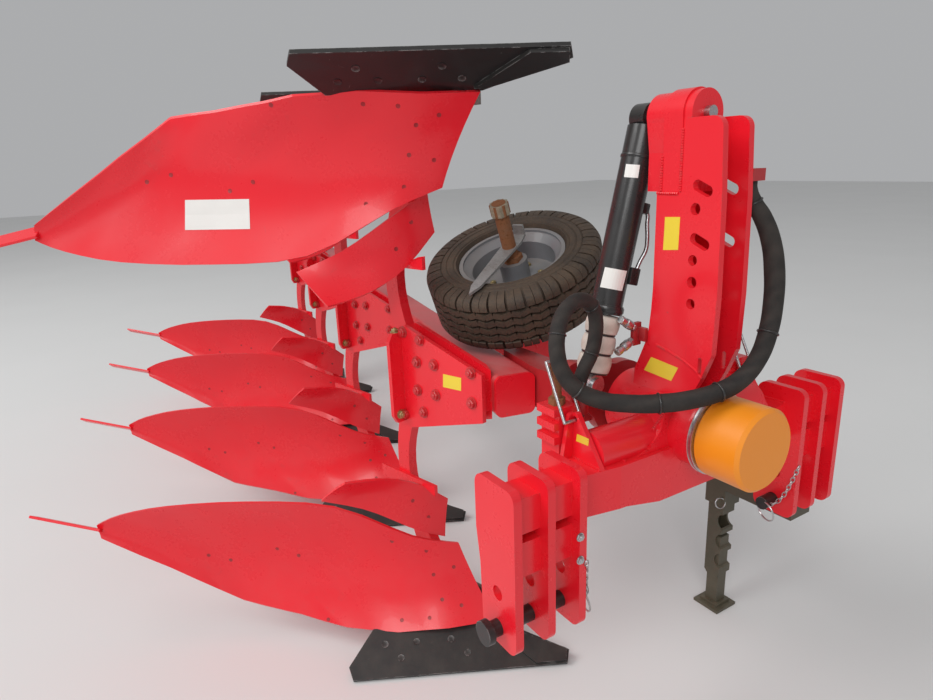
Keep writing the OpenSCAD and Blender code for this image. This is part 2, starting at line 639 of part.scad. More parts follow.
// Parking stand
module at_stand() at_hitch() translate([-stand_back, stand_left, 0]) children();
module stand_sleeve() color(olive) {
    at_stand() translate([0, 0, sleeve_z0]) linear_extrude(sleeve_z1 - sleeve_z0) difference() {
        square(sleeve_w, center = true);
        square(prop_w + 2 * slide_gap, center = true);
    }
    // Arm back from the hitch plates
    at_hitch() translate([-stand_back + sleeve_w / 2 - 4, stand_left - 50, plate_z0 - 60])
        cube([stand_back - sleeve_w / 2 - 16, 94, 60]);
}
notch_r = 30;
notch_pitch = 74;
// Leg with a row of round notches down its front, and the foot on its own smaller leg.
module stand_leg() color(olive) at_stand() {
    difference() {
        translate([-prop_w / 2, -prop_w / 2, prop_z0]) cube([prop_w, prop_w, sleeve_z1 + 30 - prop_z0]);
        translate([-foot_leg_w / 2, -foot_leg_w / 2, prop_z0 + 150])
            cube([foot_leg_w, foot_leg_w, sleeve_z1 - prop_z0]);
        for (k = [0:2]) translate([prop_w / 2 + 8, 0, prop_z0 + 65 + k * notch_pitch])
            rod_y(-prop_w, prop_w, notch_r);
        translate([-prop_w / 2 - 12, 0, prop_z0 - 8]) rod_y(-prop_w, prop_w, 22);
        translate([prop_w / 2 + 12, 0, prop_z0 - 8]) rod_y(-prop_w, prop_w, 22);
    }
    translate([-foot_leg_w / 2, -foot_leg_w / 2, foot_t]) cube([foot_leg_w, foot_leg_w, prop_z0 + 150 - foot_t]);
    linear_extrude(foot_t / 2) square(foot_w, center = true);
    translate([0, 0, foot_t / 2]) linear_extrude(foot_t / 2) square(foot_leg_w + 24, center = true);
}

// Turnover cylinder, in the plane cyl_back behind the hitch plates
cyl_drop = cyl_top_z - axis_z - eye_up;
cyl_l = sqrt(cyl_drop * cyl_drop + eye_right * eye_right);
cyl_a = atan2(eye_right, cyl_drop);
// Z runs up along the cylinder from its rod eye.
module at_cylinder() at_hitch() translate([-cyl_back, 0, cyl_top_z]) rotate([-cyl_a, 0, 0])
    translate([0, 0, -cyl_l]) children();
module cylinder_barrel() color([0.10, 0.10, 0.11]) at_cylinder() difference() {
    union() {
        translate([0, 0, cyl_l - barrel_l]) cylinder(r = barrel_r, h = barrel_l - 22);
        translate([0, 0, cyl_l - barrel_l]) cylinder(r = barrel_r + 3, h = 22);
        translate([0, 0, cyl_l]) rod_x(-eye_w / 2, eye_w / 2, 34);
    }
    translate([0, 0, cyl_l - barrel_l - 1]) cylinder(r = wrap_r + 1, h = barrel_l - 60);
    translate([0, 0, cyl_l]) rod_x(-eye_w, eye_w, eye_pin_r + run_gap);
}
module cylinder_rod() color(steel) at_cylinder() {
    translate([0, 0, eye_r - 6]) cylinder(r = rod_r, h = cyl_l - barrel_l + 60);
    rod_x(-eye_w / 2, eye_w / 2, eye_r);
    rod_x(eye_w / 2, eye_w / 2 + 8, eye_pin_r + 6);
    rod_x(cyl_back - hub_back + seat_gap, -eye_w / 2, eye_pin_r);
}
wrap_l = (cyl_l - barrel_l - eye_r - 14) / 3;
module rod_wraps() color([0.62, 0.57, 0.50]) at_cylinder() for (k = [0:2])
    translate([0, 0, eye_r + 4 + k * (wrap_l + 2)]) difference() {
        cylinder(r = wrap_r, h = wrap_l);
        translate([0, 0, -1]) cylinder(r = rod_r + 0.3, h = wrap_l + 2);
    }

// Support wheel
module at_wheel() at_hitch() translate([-wheel_back, wheel_left, wheel_z])
    rotate([0, 0, wheel_turn]) rotate([0, wheel_lean, 0]) children();
hub_half = 60;
spindle_up = 198;
module wheel_rim() color([0.72, 0.73, 0.75]) at_wheel() rotate_extrude($fn = 96)
    polygon([[spindle_r + run_gap, -hub_half], [46, -hub_half], [46, -16], [rim_r - 34, -30],
        [rim_r - 22, -62], [rim_r, -68], [rim_r, -76], [rim_r + 12, -76], [rim_r + 12, -66],
        [rim_r + 2, -60], [rim_r - 14, -40], [rim_r - 14, 40], [rim_r + 2, 60], [rim_r + 12, 66],
        [rim_r + 12, 76], [rim_r, 76], [rim_r, 68], [rim_r - 24, 46], [rim_r - 24, -18],
        [rim_r - 34, -18], [46, -4], [46, hub_half], [spindle_r + run_gap, hub_half]]);
module tyre() color([0.09, 0.09, 0.09]) at_wheel() rotate_extrude($fn = 96) {
    h = tyre_w / 2;
    polygon([[rim_r + 3, 59], [rim_r + 13, 65.5], [rim_r + 13, 76], [rim_r + 30, h - 2], [rim_r + 62, h],
        [tyre_r - 26, h - 8], [tyre_r - 6, h - 22], [tyre_r, h - 44], [tyre_r, 44 - h],
        [tyre_r - 6, 22 - h], [tyre_r - 26, 8 - h], [rim_r + 62, -h], [rim_r + 30, 2 - h],
        [rim_r + 13, -76], [rim_r + 13, -65.5], [rim_r + 3, -59], [rim_r - 13, -39.5],
        [rim_r - 13, 39.5]]);
}
module wheel_spindle() color(rust) at_wheel() {
    translate([0, 0, -hub_half - 62]) cylinder(r = spindle_r, h = 2 * hub_half + 62 + spindle_up);
    translate([0, 0, -hub_half - 20]) cylinder(r = spindle_r + 14, h = 19.7);
    translate([0, 0, hub_half + 0.3]) cylinder(r = spindle_r + 12, h = 16, $fn = 6);
    translate([0, 0, hub_half + spindle_up - 38]) cylinder(r = spindle_r + 8, h = 36, $fn = 6);
}
module wheel_arm() color(paint) {
    at_wheel() translate([0, 0, -hub_half - 62]) difference() {
        cylinder(r = 50, h = 41);
        translate([0, 0, -1]) cylinder(r = spindle_r, h = 43);
    }
    at_beam() translate([350, -beam_w / 2 - 235, -40]) cube([90, 235, 80]);
    at_wheel() translate([-27, -27, -310]) cube([54, 54, 310 - hub_half - 62]);
}
// Bar from the spindle out over the tyre's side, with its end turned up behind the spindle.
scraper_t = 8;
module scraper() color([0.45, 0.46, 0.48]) at_wheel() translate([0, 0, hub_half + 41]) {
    linear_extrude(scraper_t) difference() {
        polygon([[-80, -18], [-30, -28], [60, -24], [220, -16], [262, 0], [220, 16], [60, 24], [-30, 28], [-80, 18]]);
        circle(spindle_r);
    }
    translate([-80, -18, 0]) cube([scraper_t, 36, 40]);
}

crossbeam();
gussets();
wire_loops();
hose_clips();
hose_bundle();
bearing_housing();
tower();
tower_lugs();
tower_pin();
hitch_plates_right();
hitch_plates_left();
link_pin_right();
link_pin_left();
bearing_cap();
clamp_band();
stop_screws();
stand_sleeve();
stand_leg();
cylinder_barrel();
cylinder_rod();
rod_wraps();
turnover_shaft();
swing_arm();
main_beam();
beam_cap();
brackets();
legs_1();
legs_2();
legs_3();
legs_4();
mouldboards_1();
mouldboards_2();
mouldboards_3();
mouldboards_4();
shares_1();
shares_2();
shares_3();
shares_4();
trashboards();
landsides();
tail_strips();
wheel_arm();
wheel_spindle();
scraper();
wheel_rim();
tyre();
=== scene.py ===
"""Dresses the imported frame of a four-furrow reversible plough.

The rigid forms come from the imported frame. This script shapes the rolled plates on from there, adds
the tyre's tread, the bolts, the blank labels, the hoses' sleeve, chains and welds, and gives every
surface its finish.
"""
import json
import logging
import math
from dataclasses import dataclass
from enum import Enum
from typing import Callable, Iterable, Sequence

import bmesh
import bpy
from mathutils import Matrix, Vector
from mathutils.kdtree import KDTree

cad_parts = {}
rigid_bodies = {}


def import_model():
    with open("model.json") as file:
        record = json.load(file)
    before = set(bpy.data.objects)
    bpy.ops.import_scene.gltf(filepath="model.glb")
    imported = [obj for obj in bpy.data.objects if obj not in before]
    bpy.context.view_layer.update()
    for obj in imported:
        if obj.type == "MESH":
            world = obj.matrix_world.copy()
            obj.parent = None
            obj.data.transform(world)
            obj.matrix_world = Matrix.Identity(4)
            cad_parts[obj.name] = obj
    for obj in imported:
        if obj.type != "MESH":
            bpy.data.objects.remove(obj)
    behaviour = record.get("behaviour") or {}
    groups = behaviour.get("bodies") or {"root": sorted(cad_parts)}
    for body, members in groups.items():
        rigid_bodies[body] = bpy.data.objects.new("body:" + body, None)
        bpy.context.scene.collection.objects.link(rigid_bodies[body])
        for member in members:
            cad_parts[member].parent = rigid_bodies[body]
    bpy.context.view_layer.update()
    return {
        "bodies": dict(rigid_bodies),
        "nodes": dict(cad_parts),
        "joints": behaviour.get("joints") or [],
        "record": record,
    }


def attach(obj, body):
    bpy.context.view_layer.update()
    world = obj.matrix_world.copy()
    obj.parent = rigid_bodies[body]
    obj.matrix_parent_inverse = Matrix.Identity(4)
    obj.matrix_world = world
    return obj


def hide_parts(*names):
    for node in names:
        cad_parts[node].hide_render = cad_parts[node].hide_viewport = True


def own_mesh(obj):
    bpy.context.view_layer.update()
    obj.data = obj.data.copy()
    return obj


log = logging.getLogger("plough")

PHOTO_W, PHOTO_H = 933, 700
HITCH = Vector((2.013, 0.421, 0.0))
AXIS_Z = 0.900
FURROWS = 4
FIRST_TIP = Vector((-0.355, -0.099, 0.0))
BODY_STEP = Vector((-0.919, 0.187, 0.0))
TRAVEL = math.radians(13.7)
WHEEL_AT = Vector((-0.735, 0.005, 1.174))
WHEEL_TURN = math.radians(-65)
WHEEL_LEAN = math.radians(24)
MERGE = 1e-5
NEAR = 1e-6
TRIM_SMOOTH = 40.0

Frame = dict
Numbers = Sequence[float]
Pair = tuple[float, float]
Triple = tuple[float, float, float]
Ends = tuple[Triple, Triple]
Outline = tuple[Pair, ...]
Seen = tuple[Vector, Vector]
Piece = bpy.types.Object
Material = bpy.types.Material


# Shader maths

class Signal:
    """A shader socket that takes part in Python expressions."""

    def __init__(self, graph: "Graph", socket: bpy.types.NodeSocket) -> None:
        """Keeps the graph that owns the socket."""
        self.graph = graph
        self.socket = socket

    def _maths(self, operation: str, *values: "Signal | float") -> "Signal":
        """Adds a Math node.

        Args:
            operation: The node's operation.
            values: Its inputs, in order.

        Returns:
            The node's output.
        """
        return self.graph.node("ShaderNodeMath", {"operation": operation},
                               dict(enumerate(values)))

    def __add__(self, other: "Signal | float") -> "Signal":
        """Sum."""
        return self._maths("ADD", self, other)

    __radd__ = __add__

    def __sub__(self, other: "Signal | float") -> "Signal":
        """Difference."""
        return self._maths("SUBTRACT", self, other)

    def __rsub__(self, other: "Signal | float") -> "Signal":
        """Difference with the socket on the right."""
        return self._maths("SUBTRACT", other, self)

    def __mul__(self, other: "Signal | float") -> "Signal":
        """Product."""
        return self._maths("MULTIPLY", self, other)

    __rmul__ = __mul__

    def above(self, edge: float, soft: float = 0.05) -> "Signal":
        """Goes from 0 to 1 over a soft step.

        Args:
            edge: The middle of the step.
            soft: Half the width of the step.

        Returns:
            The mask.
        """
        return self.graph.node("ShaderNodeMapRange", {"clamp": True},
                               {0: self, 1: edge - soft, 2: edge + soft, 3: 0.0, 4: 1.0})

    def clamp(self) -> "Signal":
        """Keeps the value between 0 and 1."""
        return self.graph.node("ShaderNodeClamp", {}, {0: self})

    def wave(self) -> "Signal":
        """Sine of the value."""
        return self._maths("SINE", self)


class Graph:
    """The node graph of one material."""

    def __init__(self, name: str) -> None:
        """Starts an empty material.

        Args:
            name: The material's name.
        """
        self.material = bpy.data.materials.new(name)
        self.material.use_nodes = True
        self.tree = self.material.node_tree
        self.tree.nodes.clear()

    def node(self, kind: str, settings: dict, values: dict, out: int | str = 0) -> Signal:
        """Adds one node.

        Args:
            kind: The node's type.
            settings: Its properties, set before its sockets.
            values: Numbers, colours or signals by socket.
            out: The output that is used.

        Returns:
            That output.
        """
        made = self.tree.nodes.new(kind)
        for key, value in settings.items():
            if key == "stops":
                ramp = made.color_ramp
                while len(ramp.elements) < len(value):
                    ramp.elements.new(0.5)
                for element, (place, colour) in zip(ramp.elements, value):
                    element.position = place
                    element.color = (*colour, 1.0)
            else:
                setattr(made, key, value)
        for key, value in values.items():
            if isinstance(value, Signal):
                self.tree.links.new(value.socket, made.inputs[key])
            elif isinstance(value, (tuple, list)) and len(value) == 3 and len(
                    made.inputs[key].default_value) == 4:
                made.inputs[key].default_value = (*value, 1.0)
            else:
                made.inputs[key].default_value = value
        return Signal(self, made.outputs[out])

    def place(self, scale: Numbers = (1, 1, 1), turn: Numbers = (0, 0, 0)) -> Signal:
        """Object coordinates through a Mapping node.

        Args:
            scale: Scale along each axis.
            turn: Turn about each axis, in radians.

        Returns:
            The coordinates.
        """
        spot = self.node("ShaderNodeTexCoord", {}, {}, "Object")
        return self.node("ShaderNodeMapping", {},
                         {"Vector": spot, "Scale": scale, "Rotation": turn})

    def noise(self, scale: float, detail: float = 3.0, rough: float = 0.55,
              at: Signal | None = None) -> Signal:
        """Noise over the surface.

        Args:
            scale: How many patches there are to the metre.
            detail: Octaves.
            rough: Weight of the finer octaves.
            at: Coordinates, or Object coordinates where there are none.

        Returns:
            The noise, from 0 to 1.
        """
        return self.node("ShaderNodeTexNoise", {}, {"Vector": at or self.place(), "Scale": scale,
                                                    "Detail": detail, "Roughness": rough}, "Fac")

    def colour(self, low: "Signal | Numbers", high: "Signal | Numbers",
               mask: "Signal | float") -> Signal:
        """Mixes two colours by a mask.

        Args:
            low: Colour where the mask is 0.
            high: Colour where the mask is 1.
            mask: The mask.

        Returns:
            The mixed colour.
        """
        return self.node("ShaderNodeMix", {"data_type": "RGBA"}, {0: mask, 6: low, 7: high}, 2)

    def facing_up(self) -> Signal:
        """How far the surface faces up, from -1 to 1."""
        normal = self.node("ShaderNodeTexCoord", {}, {}, "Normal")
        return self.node("ShaderNodeSeparateXYZ", {}, {0: normal}, 2)

    def height(self) -> Signal:
        """Height above the ground in metres."""
        spot = self.node("ShaderNodeTexCoord", {}, {}, "Object")
        return self.node("ShaderNodeSeparateXYZ", {}, {0: spot}, 2)

    def edges(self, radius: float) -> Signal:
        """Mask of the convex and concave edges.

        Args:
            radius: Width of the mask in metres.

        Returns:
            The mask, 1 on a sharp edge.
        """
        soft = self.node("ShaderNodeBevel", {"samples": 4}, {"Radius": radius})
        true = self.node("ShaderNodeNewGeometry", {}, {}, "True Normal")
        same = self.node("ShaderNodeVectorMath", {"operation": "DOT_PRODUCT"}, {0: soft, 1: true},
                         "Value")
        return ((1.0 - same) * 6.0).clamp()

    def finish(self, base: Signal, rough: "Signal | float", bump: Signal | None = None,
               depth: float = 0.0, metal: "Signal | float" = 0.0,
               **constants: float) -> Material:
        """Closes the graph with the surface shader.

        Args:
            base: Base colour.
            rough: Roughness.
            bump: Height signal of the relief.
            depth: Height of the relief in metres.
            metal: Metallic.
            constants: Numbers set on the shader's own sockets.

        Returns:
            The material.
        """
        shader = self.tree.nodes.new("ShaderNodeBsdfPrincipled")
        for key, value in (("Base Color", base), ("Roughness", rough), ("Metallic", metal)):
            if isinstance(value, Signal):
                self.tree.links.new(value.socket, shader.inputs[key])
            else:
                shader.inputs[key].default_value = value
        if bump is not None:
            relief = self.node("ShaderNodeBump", {},
                               {"Height": bump, "Distance": depth, "Strength": 1.0})
            self.tree.links.new(relief.socket, shader.inputs["Normal"])
        for key, value in constants.items():
            shader.inputs[key.replace("_", " ").title()].default_value = value
        out = self.tree.nodes.new("ShaderNodeOutputMaterial")
        self.tree.links.new(shader.outputs[0], out.inputs[0])
        return self.material


# Finishes

@dataclass(frozen=True)
class FieldPaint:
    """Sprayed paint that has worked in a field: faded, dusty, scratched and worn at its edges."""

    name: str
    fresh: Triple
    faded: Triple
    gloss: float = 0.30
    dust: float = 0.5
    wear: float = 0.5
    bare: Triple = (0.16, 0.13, 0.11)
    dirt: Triple = (0.40, 0.30, 0.24)

    def make(self) -> Material:
        """Builds the material.

        Returns:
            The material.
        """
        g = Graph(self.name)
        cloud = g.noise(2.2, 4.0)
        grain = g.noise(75.0, 4.0, 0.6)
        base = g.colour(self.fresh, self.faded, (cloud.above(0.52, 0.22) * 0.8).clamp())
        film = ((g.facing_up() * 0.55 + 0.18).clamp() * g.noise(9.0, 6.0, 0.65).above(0.5, 0.28)
                * self.dust).clamp()
        splash = (1.0 - g.height().above(0.30, 0.34)) * g.noise(14.0, 6.0, 0.7).above(0.56, 0.16)
        dusty = (film + splash * (0.55 * self.dust)).clamp()
        streak = g.noise(3.0, 7.0, 0.6, g.place((70.0, 6.0, 3.0), (0.3, 0.5, 0.4)))
        other = g.noise(3.0, 7.0, 0.6, g.place((5.0, 60.0, 4.0), (0.9, 0.1, 1.1)))
        scratch = streak.above(0.735, 0.02) + other.above(0.745, 0.02)
        scratch = scratch.clamp() * (0.75 * self.wear)
        chip = g.noise(42.0, 5.0, 0.65).above(0.735, 0.02) * self.wear
        edge = g.edges(0.0035) * g.noise(26.0, 5.0, 0.7).above(0.62 - 0.12 * self.wear, 0.05)
        worn = (scratch + chip + edge * self.wear).clamp()
        base = g.colour(base, self.dirt, dusty)
        base = g.colour(base, self.bare, worn)
        rough = (g.noise(5.0, 3.0) * 0.16 + grain * 0.06 + self.gloss - 0.10 + dusty * 0.45
                 + worn * 0.25).clamp()
        relief = grain * 0.25 + g.noise(260.0, 2.0) * 0.15 - worn * 0.8
        return g.finish(base, rough, relief, 0.00035, worn * 0.35, coat_weight=0.12)


@dataclass(frozen=True)
class BareSteel:
    """Bare or plated steel, brushed by use and browned in patches."""

    name: str
    bright: Triple
    brown: Triple
    rust: float = 0.3
    rough: float = 0.35
    metal: float = 1.0

    def make(self) -> Material:
        """Builds the material.

        Returns:
            The material.
        """
        g = Graph(self.name)
        brush = g.noise(3.0, 6.0, 0.6, g.place((12.0, 90.0, 90.0)))
        patch = g.noise(11.0, 7.0, 0.7)
        pit = g.noise(120.0, 4.0, 0.7)
        mask = (patch.above(0.72 - 0.42 * self.rust, 0.12) * 0.75
                + pit.above(0.66, 0.08) * (0.5 * self.rust)).clamp()
        dark = tuple(0.62 * c for c in self.bright)
        base = g.colour(g.colour(dark, self.bright, brush.above(0.5, 0.25)), self.brown, mask)
        base = g.colour(base, tuple(0.45 * c for c in self.brown), pit.above(0.62, 0.1) * mask)
        rough = (brush * 0.15 + self.rough + mask * 0.4).clamp()
        return g.finish(base, rough, pit * (mask + 0.15) + brush * 0.2, 0.0006,
                        ((1.0 - mask * 0.9) * self.metal).clamp())


@dataclass(frozen=True)
class DustyRubber:
    """Tyre rubber, dusty and grey on what touches the ground."""

    name: str
    rubber: Triple = (0.015, 0.014, 0.014)
    dust: Triple = (0.110, 0.072, 0.044)

    def make(self) -> Material:
        """Builds the material.

        Returns:
            The material.
        """
        g = Graph(self.name)
        cloud = g.noise(9.0, 6.0, 0.65)
        grit = g.noise(160.0, 5.0, 0.7)
        dusty = (cloud.above(0.46, 0.2) * 0.55 + grit.above(0.54, 0.12) * 0.35 + 0.12).clamp()
        base = g.colour(self.rubber, self.dust, dusty)
        return g.finish(base, (dusty * 0.2 + 0.62).clamp(), grit, 0.0007)


@dataclass(frozen=True)
class WrapCloth:
    """Tape or textile wound round a part, with its windings as relief and as painted shade in their
    grooves.
    """

    name: str
    light: Triple
    dark: Triple
    pitch: float = 95.0
    turn: Triple = (0.0, 0.0, 0.0)

    def make(self) -> Material:
        """Builds the material.

        Returns:
            The material.
        """
        g = Graph(self.name)
        spot = g.place((1, 1, 1), self.turn)
        along = g.node("ShaderNodeSeparateXYZ", {}, {0: spot}, 2)
        wobble = g.noise(16.0, 4.0)
        ridge = (along * (self.pitch * math.tau) + wobble * 7.0).wave() * 0.5 + 0.5
        weave = g.noise(420.0, 3.0, 0.6)
        soil = g.noise(13.0, 6.0, 0.7).above(0.52, 0.2)
        # The grooves between the windings are painted darker: painted shade, on top of the real soil
        # patches.
        base = g.colour(self.light, self.dark, (soil * 0.7 + (1.0 - ridge) * 0.3).clamp())
        return g.finish(base, weave * 0.12 + 0.78, ridge * 0.8 + weave * 0.3, 0.0012)


class Slot(Enum):
    """The record's material slots."""

    RED = "red_paint"
    DARK_RED = "dark_red_paint"
    SHARE = "black_share"
    WEAR = "wear_steel"
    BRIGHT = "bright_steel"
    RUSTY = "rusty_steel"
    CAP = "orange_cap"
    OLIVE = "olive_steel"
    BLACK = "black_paint"
    WRAP = "beige_wrap"
    RIM = "rim_silver"
    RUBBER = "tyre_rubber"
    HOSE = "hose_sleeve"


Finish = FieldPaint | BareSteel | DustyRubber | WrapCloth

FINISHES = {
    Slot.RED: FieldPaint("red paint", (0.85, 0.008, 0.020), (0.78, 0.010, 0.025), 0.27, 0.09, 0.32),
    Slot.DARK_RED: FieldPaint("dark red paint", (0.44, 0.006, 0.012), (0.36, 0.012, 0.018), 0.36,
                              0.3, 0.5),
    Slot.SHARE: FieldPaint("black share paint", (0.009, 0.009, 0.010), (0.018, 0.017, 0.017), 0.40,
                           0.16, 0.8, (0.34, 0.33, 0.32), (0.21, 0.17, 0.13)),
    Slot.WEAR: BareSteel("worn steel", (0.34, 0.33, 0.32), (0.16, 0.085, 0.045), 0.45, 0.42, 0.8),
    Slot.BRIGHT: BareSteel("bright steel", (0.66, 0.66, 0.67), (0.24, 0.15, 0.09), 0.12, 0.24),
    Slot.RUSTY: BareSteel("rusty steel", (0.30, 0.17, 0.10), (0.27, 0.095, 0.032), 0.95, 0.55,
                          0.35),
    Slot.CAP: FieldPaint("orange cap", (0.88, 0.27, 0.006), (0.84, 0.27, 0.010), 0.42, 0.03, 0.15,
                         (0.45, 0.25, 0.10)),
    Slot.OLIVE: FieldPaint("olive paint", (0.055, 0.047, 0.029), (0.085, 0.072, 0.045), 0.5,
                           0.5, 0.6, (0.17, 0.13, 0.10), (0.22, 0.19, 0.13)),
    Slot.BLACK: FieldPaint("black cylinder paint", (0.011, 0.011, 0.012), (0.020, 0.020, 0.021),
                           0.26, 0.30, 0.35, (0.16, 0.15, 0.14), (0.20, 0.17, 0.14)),
    Slot.WRAP: WrapCloth("beige wrap", (0.70, 0.62, 0.55), (0.46, 0.39, 0.33), 24.0),
    Slot.RIM: FieldPaint("silver rim paint", (0.25, 0.26, 0.28), (0.14, 0.13, 0.13), 0.36, 0.7, 0.5,
                         (0.20, 0.15, 0.11), (0.30, 0.25, 0.20)),
    Slot.RUBBER: DustyRubber("tyre rubber"),
    Slot.HOSE: WrapCloth("hose sleeve", (0.040, 0.032, 0.027), (0.010, 0.009, 0.009), 34.0,
                         (0.5, 0.9, 0.0)),
}

BOLT_ZINC = BareSteel("yellow zinc", (0.62, 0.50, 0.26), (0.24, 0.15, 0.07), 0.25, 0.34)
NUT_STEEL = BareSteel("greased nut", (0.52, 0.46, 0.34), (0.20, 0.13, 0.07), 0.35, 0.36, 0.8)
BOLT_RED = FieldPaint("painted bolt", (0.62, 0.010, 0.018), (0.52, 0.014, 0.022), 0.36, 0.25, 0.7)
BOLT_DARK = FieldPaint("sunk bolt", (0.40, 0.006, 0.012), (0.28, 0.008, 0.014), 0.5, 0.2, 0.5)
SCRAPER_STEEL = BareSteel("scraper steel", (0.44, 0.43, 0.42), (0.22, 0.20, 0.18), 0.30, 0.45, 0.5)
DUSTY_RED = FieldPaint("dusty red paint", (0.72, 0.012, 0.022), (0.62, 0.03, 0.04), 0.34, 0.85,
                       0.45, (0.16, 0.13, 0.11), (0.50, 0.26, 0.24))
WHITE_LABEL = FieldPaint("white label", (0.84, 0.83, 0.80), (0.76, 0.74, 0.70), 0.4, 0.3, 0.35,
                         (0.45, 0.30, 0.26))
YELLOW_LABEL = FieldPaint("yellow label", (0.88, 0.66, 0.02), (0.80, 0.60, 0.05), 0.4, 0.25, 0.35,
                          (0.30, 0.20, 0.10))


class Finisher:
    """Makes each finish once, and puts it on pieces."""

    def __init__(self) -> None:
        """Starts with no finish made."""
        self.made: dict[str, Material] = {}

    def material(self, look: Slot | Finish) -> Material:
        """The material of a slot, or of a finish that has no slot of its own.

        Args:
            look: The slot or the finish.

        Returns:
            The material.
        """
        finish = FINISHES[look] if isinstance(look, Slot) else look
        if finish.name not in self.made:
            self.made[finish.name] = finish.make()
        return self.made[finish.name]

    def dress(self, piece: Piece, look: Slot | Finish) -> None:
        """Leaves the piece with that finish alone."""
        piece.data.materials.clear()
        piece.data.materials.append(self.material(look))

    def dress_frame(self, frame: Frame) -> None:
        """Puts each CAD node's slot finish on it.

        Args:
            frame: The loaded frame.
        """
        for row in frame["record"]["subparts"]:
            node = frame["nodes"].get(row["node"])
            if node is not None:
                self.dress(node, Slot(row["material_slot"]))
                node.select_set(False)

    def hang(self, piece: Piece, name: str, body: str, slot: Slot,
             look: Finish | None = None, degrees: float = 0.0) -> None:
        """Names, dresses and shades a piece and hangs it on its body.

        Args:
            piece: The piece.
            name: Its name.
            body: The body it rides on.
            slot: The material slot whose finish it gets where no look is given.
            look: Its finish, or None for the slot's own.
            degrees: The angle up to which it is shaded smooth, or 0 to leave its shading.
        """
        piece.name = name
        self.dress(piece, look or slot)
        if degrees:
            Bench.smooth(piece, degrees)
        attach(piece, body)


# Modelling by hand

